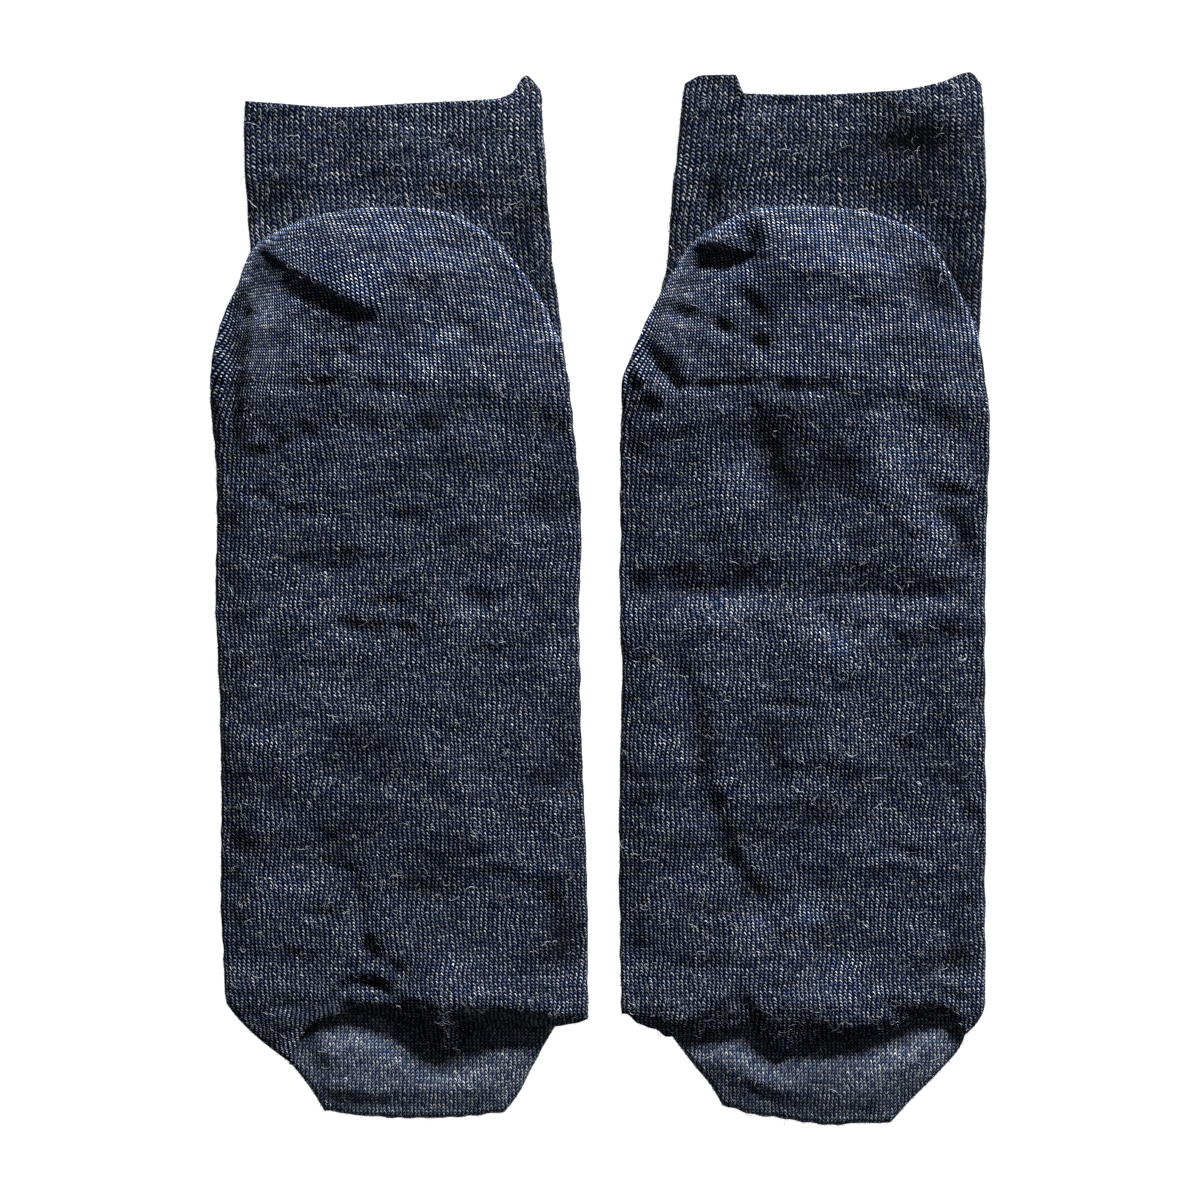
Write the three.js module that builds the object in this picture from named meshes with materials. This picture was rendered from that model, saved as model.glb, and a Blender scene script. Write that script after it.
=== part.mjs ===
// A pair of fine knitted wool socks lying flat, sole up, each heel pocket folded back over its leg.
//
// Millimetres. +X runs across the pair, +Y from the toes to the cuffs, +Z up from what they lie on.
// Each sock is three pieces of knit: the leg with its cuff, the foot with its heel pocket, the toe cap.
// Each piece is one wall of cloth, flattened so that an upper and a lower layer meet in rolled edges.

import * as THREE from 'three';

// ---- The cloth ----
const WALL = 1.4; // one layer of knit
const LAYER_GAP = 0.3; // air between the two layers of a flattened tube
const SEAM_GAP = 0.3; // air between two pieces
const FLAT_TUBE = 2 * WALL + LAYER_GAP; // a flattened tube from floor to top
const HEEL_FLOOR = FLAT_TUBE + 0.4; // the heel pocket's lower layer lies on the leg
const HEEL_TOP = HEEL_FLOOR + FLAT_TUBE;
const LEDGE_TOP = FLAT_TUBE + SEAM_GAP + WALL; // the sole's end lies on the toe cap
const KNIT_COLOUR = 0x323843;

// ---- The mesh ----
const CELLS = 16; // across one layer, from rolled edge to rolled edge
const RING = 2 * CELLS; // points round a flattened tube
const ROLL_STEPS = 2; // of those cells, the ones that round each rolled edge

// ---- The joins, along Y ----
const ANKLE_Y = 53.75; // the foot's lower layer meets the leg here, under the heel pocket
const TOE_SEAM_Y = -101; // the foot's lower layer meets the toe cap here, under the ledge
const HEEL_START = 0.5; // how far above the ankle the heel pocket's lower layer begins

// How high the sole's upper layer lies: it climbs over the ledge and over the folded ankle.
const SOLE_CLIMB = [
  { y: TOE_SEAM_Y, top: LEDGE_TOP },
  { y: -88, top: FLAT_TUBE },
  { y: 24, top: FLAT_TUBE },
  { y: ANKLE_Y, top: HEEL_TOP },
];

// Shares of the heel pocket's height at which a ring lies, closer together as the dome rounds over.
const HEEL_SHARES = [0.17, 0.36, 0.54, 0.69, 0.81, 0.9, 0.965, 0.995];

// The roll of cloth at the sole's end: how far along towards the ledge, how far above the lying sole,
// and how far its inner point is drawn back.
const LEDGE_ROLL = [
  { share: 1, rise: 0.2, drawnBack: 1.1 },
  { share: 0.88, rise: 1.1, drawnBack: 0.3 },
  { share: 0.62, rise: 1.2, drawnBack: 0 },
  { share: 0.3, rise: 0.5, drawnBack: 0 },
];

// The toe cap's end: how far in from the tip, how far its corners are cut in, and its share of thickness.
const TIP_ROUNDING = [
  { inset: 0, corner: 1.2, thickness: 0.3 },
  { inset: 0.5, corner: 0.5, thickness: 0.78 },
  { inset: 1.5, corner: 0.1, thickness: 1 },
];

// Each fold runs from one place to another. A positive height is a ridge, a negative one a trough.
// bow curves it to its left, and lean makes its left side steep (towards 1) or its right side (towards -1).
const LEFT_SOCK = {
  name: 'left',
  foot: [
    { y: TOE_SEAM_Y, left: -93.6, right: -3 },
    { y: -90, left: -94.3, right: -3 },
    { y: -72, left: -95, right: -3.2 },
    { y: -54, left: -94.8, right: -3.8 },
    { y: -36, left: -95, right: -4.6 },
    { y: -18, left: -95.5, right: -5 },
    { y: 0, left: -96.3, right: -5.2 },
    { y: 14, left: -96, right: -4.6 },
    { y: 27, left: -95.9, right: -5.1 },
    { y: 36, left: -96.3, right: -5.8 },
    { y: 44, left: -96.9, right: -6.7 },
    { y: 49.5, left: -97.3, right: -7.2 },
    { y: ANKLE_Y, left: -97.5, right: -7.6 },
  ],
  heel: {
    middle: -52.4,
    halfWidth: 44.8,
    height: 44.1,
    flank: 1.5,
    crown: 0.36,
    shoulder: 0.03,
    drift: [
      { share: 0, shift: 0 },
      { share: 0.25, shift: -0.8 },
      { share: 0.5, shift: -1.1 },
      { share: 0.8, shift: -2.9 },
      { share: 0.93, shift: -1.6 },
      { share: 1, shift: 0.2 },
    ],
  },
  leg: [
    { y: ANKLE_Y, left: -95, right: -8 },
    { y: 70, left: -91.5, right: -9.9 },
    { y: 86, left: -87.6, right: -11.9 },
    { y: 102, left: -88.6, right: -13.2 },
    { y: 115, left: -89.2, right: -14.1 },
    { y: 124, left: -88.8, right: -14.8 },
  ],
  mouth: [
    { share: 0, rise: 0.8 },
    { share: 0.1, rise: 0.2 },
    { share: 0.32, rise: -0.8 },
    { share: 0.55, rise: 0.1 },
    { share: 0.85, rise: 1.3 },
    { share: 0.9, rise: 2.6 },
    { share: 0.95, rise: 7.2 },
    { share: 1, rise: 3.6 },
  ],
  ledge: [
    { x: -76.2, y: -116.2 },
    { x: -75, y: -110 },
    { x: -70, y: -105.2 },
    { x: -62, y: -102.9 },
    { x: -51, y: -105.8 },
    { x: -44, y: -110.2 },
    { x: -39.6, y: -113.6 },
    { x: -35.4, y: -111.6 },
    { x: -31.5, y: -106.8 },
    { x: -22, y: -105.2 },
    { x: -9, y: -106.3 },
    { x: -3, y: -104.6 },
  ],
  ledgeShoulder: { left: -1.6, right: 0 },
  toe: [
    { left: [-68.9, -127.9], right: [-23.9, -128.2], bow: -1.7 },
    { left: [-72, -123], right: [-20.4, -123.6], bow: -0.6 },
    { left: [-76.6, -117], right: [-17, -117], bow: 0 },
    { left: [-83.6, -110], right: [-13.2, -110], bow: 0 },
    { left: [-91, TOE_SEAM_Y], right: [-7.6, TOE_SEAM_Y], bow: 0 },
  ],
  folds: [
    { from: [-86, 91.5], to: [-56, 73.5], width: 6, height: 2.6, bow: 0.6, lean: -0.75 },
    { from: [-93.5, 66], to: [-93.8, 30], width: 3, height: 0.8, bow: 0, lean: 0 },
    { from: [-62, -92], to: [-50, -99], width: 4, height: 1.3, bow: 0, lean: 0 },
  ],
};

const RIGHT_SOCK = {
  name: 'right',
  foot: [
    { y: TOE_SEAM_Y, left: 5.2, right: 96.3 },
    { y: -90, left: 5.1, right: 96.5 },
    { y: -72, left: 4.8, right: 96.4 },
    { y: -54, left: 4.8, right: 96.7 },
    { y: -36, left: 5.1, right: 96.5 },
    { y: -18, left: 5.5, right: 96.4 },
    { y: 0, left: 4.9, right: 96.5 },
    { y: 14, left: 5.1, right: 96.7 },
    { y: 27, left: 5.1, right: 97.1 },
    { y: 36, left: 5, right: 97.4 },
    { y: 44, left: 5.3, right: 97.5 },
    { y: 49.5, left: 5.4, right: 97 },
    { y: ANKLE_Y, left: 5.2, right: 96.3 },
  ],
  heel: {
    middle: 50.7,
    halfWidth: 45.4,
    height: 44.5,
    flank: 1.3,
    crown: 0.36,
    shoulder: 0.04,
    drift: [
      { share: 0, shift: 0 },
      { share: 0.35, shift: 1.6 },
      { share: 0.88, shift: 2.1 },
      { share: 1, shift: -0.6 },
    ],
  },
  leg: [
    { y: ANKLE_Y, left: 8, right: 94.4 },
    { y: 70, left: 13.6, right: 95.2 },
    { y: 86, left: 16.9, right: 96 },
    { y: 102, left: 18.1, right: 96.7 },
    { y: 115, left: 20, right: 96.3 },
    { y: 124, left: 21, right: 95.4 },
  ],
  mouth: [
    { share: 0, rise: 5.2 },
    { share: 0.06, rise: 7.2 },
    { share: 0.17, rise: 7.3 },
    { share: 0.2, rise: 2.6 },
    { share: 0.4, rise: 2.3 },
    { share: 0.7, rise: 3.2 },
    { share: 0.86, rise: 5.4 },
    { share: 0.96, rise: 8 },
    { share: 1, rise: 5 },
  ],
  ledge: [
    { x: 5.4, y: -103.2 },
    { x: 11.5, y: -106.4 },
    { x: 18, y: -109 },
    { x: 27, y: -108.2 },
    { x: 37, y: -106.6 },
    { x: 41, y: -109.6 },
    { x: 45.2, y: -113 },
    { x: 50, y: -111 },
    { x: 62, y: -110 },
    { x: 74, y: -107.2 },
    { x: 83, y: -103.2 },
    { x: 87.5, y: -104.6 },
    { x: 92, y: -110.4 },
  ],
  ledgeShoulder: { left: 0, right: 2.4 },
  toe: [
    { left: [30.6, -126.5], right: [72.8, -130.7], bow: -2.2 },
    { left: [27.6, -121.4], right: [77.6, -125.4], bow: -0.8 },
    { left: [23.6, -116.6], right: [84, -119], bow: 0 },
    { left: [18.6, -110], right: [90.6, -111], bow: 0 },
    { left: [11.4, TOE_SEAM_Y], right: [93.6, TOE_SEAM_Y], bow: 0 },
  ],
  folds: [
    { from: [23, 91.6], to: [41, 87], width: 4.6, height: 2.7, bow: 0.4, lean: -0.7 },
    { from: [37, 95], to: [64, 83], width: 5.5, height: 1.3, bow: -3, lean: 0 },
    { from: [40, 44], to: [50.5, 22], width: 4.5, height: -0.7, bow: 0, lean: 0 },
    { from: [50.5, 22], to: [63, 46], width: 4.5, height: -0.7, bow: 0, lean: 0 },
    { from: [73, 38], to: [91, 2], width: 5, height: 0.9, bow: 2, lean: 0 },
  ],
};

const PLUMPNESS = 0.8; // how far the sole stands up where nothing presses it
const CUFF_PLUMPNESS = 0.5; // the same for the cuff
const TOE_PLUMPNESS = 0.7; // and for the toe cap
const EDGE_FADE = 9; // over which plumpness and folds die out towards a rolled edge
const CONTACT_FADE = 6; // and towards a piece that lies on top
const LEDGE_CLEARANCE = 9; // how far past the ledge the toe cap starts to stand up
const CROWN_CLEARANCE = 5; // how far past the heel pocket's crown the cuff does

// ---- Small numbers ----
const mix = (a, b, share) => a + (b - a) * share;
const clamp01 = (value) => Math.min(1, Math.max(0, value));
const ease = (value) => clamp01(value) ** 2 * (3 - 2 * clamp01(value));

// Reads a short table by its first column, easing from row to row.
function look(table, key, column, at) {
  const rising = table[0][key] < table[table.length - 1][key];
  const rows = rising ? table : [...table].reverse();
  const next = rows.findIndex((row) => row[key] >= at);
  if (next === 0) return rows[0][column];
  if (next === -1) return rows[rows.length - 1][column];
  const [low, high] = [rows[next - 1], rows[next]];
  return mix(low[column], high[column], ease((at - low[key]) / (high[key] - low[key])));
}

// ---- Folds ----
// The height that one fold adds at a place.
function foldHeight(fold, x, y) {
  const [x0, y0] = fold.from;
  const [dx, dy] = [fold.to[0] - x0, fold.to[1] - y0];
  const length = Math.hypot(dx, dy);
  const along = ((x - x0) * dx + (y - y0) * dy) / length ** 2;
  if (along <= 0 || along >= 1) return 0;
  const taper = Math.sqrt(4 * along * (1 - along));
  const across = ((y - y0) * dx - (x - x0) * dy) / length - fold.bow * taper ** 2;
  const side = fold.width * (across > 0 ? 1 - fold.lean : 1 + fold.lean);
  return fold.height * taper * Math.exp(-((across / side) ** 2));
}

// How far the upper layer stands above where it would lie, given how free it is to lift (0 to 1).
function lift(sock, x, y, freedom) {
  const folds = sock.folds.reduce((sum, fold) => sum + foldHeight(fold, x, y), 0);
  return Math.max(0, PLUMPNESS + folds) * freedom;
}

// ---- Sections ----
// A section is the line from a left to a right rolled edge, with its height from floor to top.
const level = (row) => ({ left: [row.left, row.y], right: [row.right, row.y], bow: 0 });

// The place at a share of the way across a section.
function placeOn(section, share) {
  return [
    mix(section.left[0], section.right[0], share),
    mix(section.left[1], section.right[1], share) + section.bow * 4 * share * (1 - share),
  ];
}

// The shares across at which a layer has its points, and how far each is round the rolled edge (0 to 1).
function acrossShares(section, reach) {
  const width = Math.hypot(section.right[0] - section.left[0], section.right[1] - section.left[1]);
  const edge = Math.min(0.3, reach / width);
  const flat = CELLS - 2 * ROLL_STEPS;
  return Array.from({ length: CELLS + 1 }, (_, i) => {
    const fromEdge = Math.min(i, CELLS - i);
    if (fromEdge >= ROLL_STEPS) return { share: mix(edge, 1 - edge, (i - ROLL_STEPS) / flat), round: 1 };
    const turn = (fromEdge / ROLL_STEPS) * (Math.PI / 2);
    const inward = edge * (1 - Math.cos(turn));
    return { share: i < CELLS / 2 ? inward : 1 - inward, round: Math.sin(turn) };
  });
}

// The points round a flattened tube: the upper layer from left to right, then the lower one back.
function ring(section, { floor, top, reach, raise, thickness = 1 }) {
  const middle = (floor + top) / 2;
  const half = ((top - floor) / 2) * thickness;
  const points = acrossShares(section, reach).map(({ share, round }) => {
    const [x, y] = placeOn(section, share);
    return { x, y, share, round };
  });
  const upper = points.map(({ x, y, share, round }) => {
    return new THREE.Vector3(x, y, middle + half * round + raise(x, y, share) * round);
  });
  const lower = points.slice(1, -1).reverse();
  return [...upper, ...lower.map(({ x, y, round }) => new THREE.Vector3(x, y, middle - half * round))];
}

// The same section drawn in by the wall, for the inside of the tube.
function drawnIn(section, by) {
  const width = section.right[0] - section.left[0];
  const inset = Math.min(by, width * 0.35) / width;
  const flat = { ...section, bow: 0 };
  const ends = { left: placeOn(flat, inset), right: placeOn(flat, 1 - inset) };
  return { ...ends, bow: section.bow };
}

// Outer and inner ring of one section.
function wallRings(section, shape) {
  const { floor, top, thickness = 1, back = 0 } = shape;
  const inside = { ...shape, floor: floor + WALL, top: top - WALL, reach: 0.6, thickness };
  const outer = ring(section, { ...shape, reach: FLAT_TUBE / 2 });
  const inner = ring(drawnIn(section, WALL), inside);
  inner.forEach((point) => (point.y += back));
  return { outer, inner };
}

// ---- Walls ----
// A wall collects the points of one sheet of cloth, outside and inside, and the quads between them.
// Its free edges are closed when it becomes a geometry.
class Wall {
  outer = [];
  inner = [];
  triangles = [];

  add({ outer, inner }) {
    const first = this.outer.length;
    this.outer.push(...outer);
    this.inner.push(...inner);
    return outer.map((_, i) => first + i);
  }

  quad(a, b, c, d) {
    for (const triangle of [[a, b, c], [a, c, d]]) {
      if (new Set(triangle).size === 3) this.triangles.push(triangle);
    }
  }

  // Joins two rows of points, the second further along +Y.
  join(near, far, cells, closed) {
    for (let i = 0; i < cells; i += 1) {
      const next = closed ? (i + 1) % cells : i + 1;
      this.quad(near[i], near[next], far[next], far[i]);
    }
  }

  // Closes the end of a pocket by joining its upper layer to its lower one.
  closeEnd(row, facesForward) {
    for (let i = 0; i < CELLS; i += 1) {
      const [below, belowNext] = [(RING - i) % RING, RING - i - 1];
      if (facesForward) this.quad(row[i], row[i + 1], row[belowNext], row[below]);
      else this.quad(row[i + 1], row[i], row[below], row[belowNext]);
    }
  }

  geometry() {
    const count = this.outer.length;
    const faces = [...this.triangles];
    for (const [a, b, c] of this.triangles) faces.push([a + count, c + count, b + count]);
    const edges = new Set(this.triangles.flatMap(([a, b, c]) => [`${a},${b}`, `${b},${c}`, `${c},${a}`]));
    for (const edge of edges) {
      const [a, b] = edge.split(',').map(Number);
      if (edges.has(`${b},${a}`)) continue;
      faces.push([b, a, a + count], [b, a + count, b + count]);
    }
    const made = new THREE.BufferGeometry().setFromPoints([...this.outer, ...this.inner]);
    made.setIndex(faces.flat());
    made.computeVertexNormals();
    return made;
  }
}

// ---- The heel pocket's outline ----
function heelHalfWidth(heel, share) {
  const dome = (1 - clamp01(share) ** heel.flank) ** heel.crown;
  const shoulder = heel.shoulder * Math.exp(-(((share - 0.8) / 0.13) ** 2));
  return heel.halfWidth * (dome + shoulder);
}

function heelMiddle(heel, share) {
  return heel.middle + look(heel.drift, 'share', 'shift', clamp01(share));
}

// ---- The pieces ----
// Freedom to lift, from the distance to a rolled edge, given as a share across a width.
const edgeFreedom = (share, width) => ease((Math.min(share, 1 - share) * width) / EDGE_FADE);

function makeFoot(sock) {
  const wall = new Wall();
  const soleWidth = sock.foot[0].right - sock.foot[0].left;
  const raise = (x, y, share) => lift(sock, x, y, edgeFreedom(share, soleWidth));

  // The tube of the foot, from the toe seam to the ankle.
  const last = sock.foot.length - 1;
  const tube = sock.foot.map((row, i) => {
    const trim = i === 0 ? SEAM_GAP / 2 : i === last ? -SEAM_GAP / 2 : 0;
    const top = look(SOLE_CLIMB, 'y', 'top', row.y);
    return wall.add(wallRings(level({ ...row, y: row.y + trim }), { floor: 0, top, raise }));
  });
  for (let i = 0; i < last; i += 1) wall.join(tube[i], tube[i + 1], RING, true);

  // The heel pocket: the sole runs on into its upper layer, and its lower layer lies on the leg.
  const { heel } = sock;
  const heelRings = [HEEL_START / heel.height, ...HEEL_SHARES].map((share) => {
    const half = heelHalfWidth(heel, share);
    const middle = heelMiddle(heel, share);
    const y = ANKLE_Y + share * heel.height;
    const toCrown = heel.height * (1 - share);
    const thickness = Math.sqrt(1 - (1 - Math.min(1, toCrown / (FLAT_TUBE / 2))) ** 2);
    const freedom = ease(toCrown / EDGE_FADE);
    const shape = {
      floor: HEEL_FLOOR,
      top: HEEL_TOP,
      thickness: Math.max(0.3, thickness),
      back: -WALL * (1 - Math.min(1, toCrown / (FLAT_TUBE / 2))),
      raise: (x, yHere, across) => raise(x, yHere, across) * freedom,
    };
    return wall.add(wallRings(level({ y, left: middle - half, right: middle + half }), shape));
  });
  wall.join(tube[last], heelRings[0], CELLS, false);
  for (let i = 0; i + 1 < heelRings.length; i += 1) wall.join(heelRings[i], heelRings[i + 1], RING, true);
  wall.closeEnd(heelRings[heelRings.length - 1], true);

  // The ledge: the sole runs past the toe seam and rolls over on the toe cap.
  const seam = wall.outer.slice(0, CELLS + 1);
  const ledgeRows = LEDGE_ROLL.map((roll) => wall.add(ledgeRow(sock, seam, roll)));
  ledgeRows.push(tube[0]);
  for (let i = 0; i + 1 < ledgeRows.length; i += 1) wall.join(ledgeRows[i], ledgeRows[i + 1], CELLS, false);
  return wall.geometry();
}

// The sole's end line, from its left to its right corner.
function ledgePlace(sock, share) {
  const [first, last] = [sock.ledge[0], sock.ledge[sock.ledge.length - 1]];
  const x = mix(first.x, last.x, share);
  return [x, look(sock.ledge, 'x', 'y', x)];
}

function ledgeRow(sock, seam, { share, rise, drawnBack }) {
  const shoulder = 4 * share * (1 - share);
  const outer = seam.map((start, i) => {
    const across = i / CELLS;
    const [endX, endY] = ledgePlace(sock, across);
    const { left, right } = sock.ledgeShoulder;
    const bulge = shoulder * (left * (1 - across) ** 4 + right * across ** 4);
    const atEdge = i === 0 || i === CELLS;
    const puff = rise * ease((Math.min(across, 1 - across) * CELLS) / 2);
    const z = atEdge ? LEDGE_TOP - WALL / 2 : LEDGE_TOP + puff;
    return new THREE.Vector3(mix(start.x, endX, share) + bulge, mix(start.y, endY, share), z);
  });
  const inner = outer.map((point, i) => {
    const inward = i === 0 ? 0.3 : i === CELLS ? -0.3 : 0;
    const z = Math.max(FLAT_TUBE + SEAM_GAP, point.z - WALL);
    return new THREE.Vector3(point.x + inward, point.y + drawnBack, z);
  });
  return { outer, inner };
}

function makeLeg(sock) {
  const wall = new Wall();
  const last = sock.leg.length - 1;
  const crownY = ANKLE_Y + sock.heel.height;
  const legWidth = sock.leg[last].right - sock.leg[last].left;
  const raise = (x, y, share) =>
    CUFF_PLUMPNESS * edgeFreedom(share, legWidth) * ease((y - crownY - CROWN_CLEARANCE) / CONTACT_FADE);
  const rings = sock.leg.map((row, i) => {
    const y = row.y + (i === 0 ? SEAM_GAP / 2 : 0);
    const shape = { floor: 0, top: FLAT_TUBE, raise };
    const made = wallRings(level({ ...row, y }), shape);
    if (i === last) for (const points of [made.outer, made.inner]) raiseMouth(sock, row, points);
    return wall.add(made);
  });
  for (let i = 0; i < last; i += 1) wall.join(rings[i], rings[i + 1], RING, true);
  return wall.geometry();
}

// Moves the points of the mouth's ring to the cuff's wavy edge. The lower layer ends a little sooner.
function raiseMouth(sock, row, points) {
  points.forEach((point, i) => {
    const share = clamp01((point.x - row.left) / (row.right - row.left));
    const setBack = i > CELLS ? 1.2 * Math.sin(Math.PI * share) : 0;
    point.y += look(sock.mouth, 'share', 'rise', share) - setBack;
  });
}

function makeToe(sock) {
  const wall = new Wall();
  const [tip, ...rest] = sock.toe;
  const raise = (x, y, share) => {
    const past = look(sock.ledge, 'x', 'y', x) - y;
    const freedom = edgeFreedom(share, tip.right[0] - tip.left[0]);
    return TOE_PLUMPNESS * freedom * ease((past - LEDGE_CLEARANCE) / CONTACT_FADE);
  };
  const shape = { floor: 0, top: FLAT_TUBE, raise };
  const rounded = TIP_ROUNDING.map(({ inset, corner, thickness }) => {
    const section = {
      left: [tip.left[0] + corner, tip.left[1] + inset],
      right: [tip.right[0] - corner, tip.right[1] + inset],
      bow: tip.bow,
    };
    const back = WALL * (1 - Math.min(1, inset / (FLAT_TUBE / 2)));
    return wall.add(wallRings(section, { ...shape, thickness, back }));
  });
  const open = rest.map((section, i) => {
    const trim = i === rest.length - 1 ? -SEAM_GAP / 2 : 0;
    const [left, right] = [section.left, section.right].map(([x, y]) => [x, y + trim]);
    return wall.add(wallRings({ left, right, bow: section.bow }, shape));
  });
  const rings = [...rounded, ...open];
  wall.closeEnd(rings[0], false);
  for (let i = 0; i + 1 < rings.length; i += 1) wall.join(rings[i], rings[i + 1], RING, true);
  return wall.geometry();
}

// ---- The pair ----
const pair = new THREE.Group();
for (const sock of [LEFT_SOCK, RIGHT_SOCK]) {
  const pieces = { leg: makeLeg(sock), foot: makeFoot(sock), toe: makeToe(sock) };
  for (const [piece, geometry] of Object.entries(pieces)) {
    const knit = new THREE.MeshStandardMaterial({ color: KNIT_COLOUR, roughness: 0.95, metalness: 0 });
    const mesh = new THREE.Mesh(geometry, knit);
    mesh.name = `${sock.name}_${piece}`;
    pair.add(mesh);
  }
}

// The origin is the middle of the pair's underside.
const size = new THREE.Box3().setFromObject(pair);
pair.position.set(-(size.min.x + size.max.x) / 2, -(size.min.y + size.max.y) / 2, -size.min.z);

export default pair;
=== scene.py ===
"""A pair of fine wool socks lying flat, sole up, each heel pocket folded back over its leg.

The tables and the cloth functions are in millimetres, as the solids are: +X across the pair,
+Y from the toes to the cuffs, +Z up. Each piece is one wall of knit, with an outer and an inner
surface, whose upper and lower layers meet in rolled edges. Meshes are made in metres.
"""

import math
from collections import namedtuple
from types import SimpleNamespace

import bpy
import numpy as np
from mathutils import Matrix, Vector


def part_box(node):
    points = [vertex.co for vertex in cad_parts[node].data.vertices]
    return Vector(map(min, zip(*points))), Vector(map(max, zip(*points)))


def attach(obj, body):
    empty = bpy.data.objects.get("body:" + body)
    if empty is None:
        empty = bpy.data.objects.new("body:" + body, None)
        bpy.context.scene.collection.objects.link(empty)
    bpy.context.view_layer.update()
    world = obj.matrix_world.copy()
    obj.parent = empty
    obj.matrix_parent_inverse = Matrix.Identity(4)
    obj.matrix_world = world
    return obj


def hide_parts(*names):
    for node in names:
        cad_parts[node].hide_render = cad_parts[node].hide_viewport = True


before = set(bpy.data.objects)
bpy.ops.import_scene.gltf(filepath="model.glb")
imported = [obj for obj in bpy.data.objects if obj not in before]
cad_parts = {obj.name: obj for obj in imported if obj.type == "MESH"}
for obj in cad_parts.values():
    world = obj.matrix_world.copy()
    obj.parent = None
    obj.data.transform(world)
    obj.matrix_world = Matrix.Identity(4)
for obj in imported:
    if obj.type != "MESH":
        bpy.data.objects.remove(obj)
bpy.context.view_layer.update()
bpy.ops.object.select_all(action="DESELECT")

MM = 0.001

# ---- The cloth, in millimetres ----
WALL = 1.4  # one layer of knit
ROLL = 1.55  # how far in from a rolled edge the cloth is flat
FLAT_TOP = 3.1  # a flattened tube, from floor to top
HEEL_FLOOR = 3.5  # the heel pocket lies on the leg
HEEL_TOP = 6.6
SEAM_GAP = 0.3  # air between two pieces
LEAST_AIR = 0.05  # between the two layers inside a tube
ANKLE_Y = 53.75  # the foot's lower layer meets the leg
TOE_SEAM_Y = -101.0  # the foot's lower layer meets the toe cap
HEEL_START = 0.5  # how far above the ankle the heel pocket's lower layer begins

MOUTH_Y = 124.0  # the cuff's mouth, before its uneven rise
MOUTH_START = 100.0  # from where the courses follow the mouth
MOUTH_ROUNDING = 0.5  # how much each side of the wall thins at the mouth
LOWER_SET_BACK = 1.2  # how much sooner the cuff's lower layer ends
SET_BACK_REACH = 6.0  # how far down from the mouth that is felt

# How far the sole stands up where nothing presses it, along Y.
PLUMPNESS = [(TOE_SEAM_Y, 2.2), (-40, 2.4), (0, 2.8), (40, 2.4), (60, 2.6), (98, 4.5)]
CUFF_PLUMPNESS = 0.7
TOE_PLUMPNESS = 2.2
TOE_EDGE = 1.4  # how much wider its rolled edges are across the slanting sides
EDGE_FADE = 9.0  # over which plumpness dies out towards a rolled edge
EDGE_FADES = [(-100, 12), (-80, 9), (40, 9), (75, 16)]  # the same on the sole, along Y
FOLD_FADE = 2.5  # the same for folds
CONTACT_FADE = 6.0  # and towards a piece that lies on top
LEDGE_CLEARANCE = 3.0  # how far past the ledge the toe cap starts to stand up
CROWN_CLEARANCE = 3.0  # how far past the heel pocket's crown the cuff does

# ---- The knit ----
HALF_WALES = 84  # columns of stitches across one layer of a tube
FOOT_COURSE = 0.83  # height of a row of stitches
CUFF_COURSE = 1.06
TOE_WALE = 0.98
TOE_COURSE = 0.85
HEEL_NARROWING = 0.08  # how much closer the columns run at the heel pocket's crown
HEEL_COURSE_RADIUS = 200.0  # its courses hang in arcs
CROWN_CROWDING = 0.2  # and how much closer the courses do
CROWDING_START = 0.6  # from which share of the heel pocket's height
NARROWING_BLEND = 0.12  # over which share of it the sole's columns become the heel's

HEEL_RIM_HIGHLIGHT = 1.5  # painted highlight along the heel's own edge: how much lighter its wool is made there
HEEL_RIM_HIGHLIGHT_REACH = 1.2
HEEL_RIM_HIGHLIGHT_START = 58.0
HEEL_RIM_HIGHLIGHT_BLEND = 8.0
HEEL_YARN = 0.52  # how much lighter the heel's yarn is than the sole's
HEEL_YARN_BLEND = 4.0
HEEL_STITCHES = (ANKLE_Y - 2, ANKLE_Y + 5)  # between these the sole's stitches become the heel's

# ---- The meshes ----
SOLE_CELLS = 104  # across one layer
LEG_CELLS = 120
TOE_CELLS = 90
ROLL_CELLS = 6  # of those, the ones round each rolled edge
TUBE_ROWS = 142
HEEL_ROWS = 40
CROWN_ROWS = [3, 2.4, 1.9, 1.45, 1.05, 0.72, 0.45, 0.25, 0.1, 0.02]  # distances from the crown
LEDGE_ROWS = 12
LEG_ROWS = 68
MOUTH_ROWS = [MOUTH_Y - 0.6, MOUTH_Y - 0.3, MOUTH_Y - 0.1, MOUTH_Y]
TOE_ROWS = 24
TIP_ROWS = [0.02, 0.1, 0.25, 0.45, 0.72, 1.05, 1.45, 1.9, 2.5, 3.2]  # distances from the tip
LARGEST_EDGE = 0.3  # the most of a layer's width that one rolled edge's cells take
SLOPE_STEP = 0.3  # along Y, over which an edge's slope is taken

# How many points the outlines have along each stretch. Distances are measured to them.
LIP_STEPS = 260
FLAP_STEPS = 24
SIDE_STEPS = 150
CROWN_STEPS = 90
HEEL_STEPS = 60
TOE_STEPS = 60

# The heel pocket's outline bulges at its shoulders, at a share of its height.
SHOULDER_AT = 0.8
SHOULDER_SPREAD = 0.13

# How high the sole's upper layer lies, and the level of its rolled edges, along Y.
SOLE_TOP = [(TOE_SEAM_Y, 4.8), (-88, 3.1), (16, 3.1), (36, 4.1), (50, 5.9), (64, HEEL_TOP)]
SOLE_EDGE = [(TOE_SEAM_Y, 2.4), (-88, 1.55), (24, 1.55), (44, 3.0), (ANKLE_Y, 5.05)]
DEEPEST_TROUGH = -0.7
HIGHEST_CREASE = 0.7  # how far creases hold the lower layer off the floor

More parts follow.
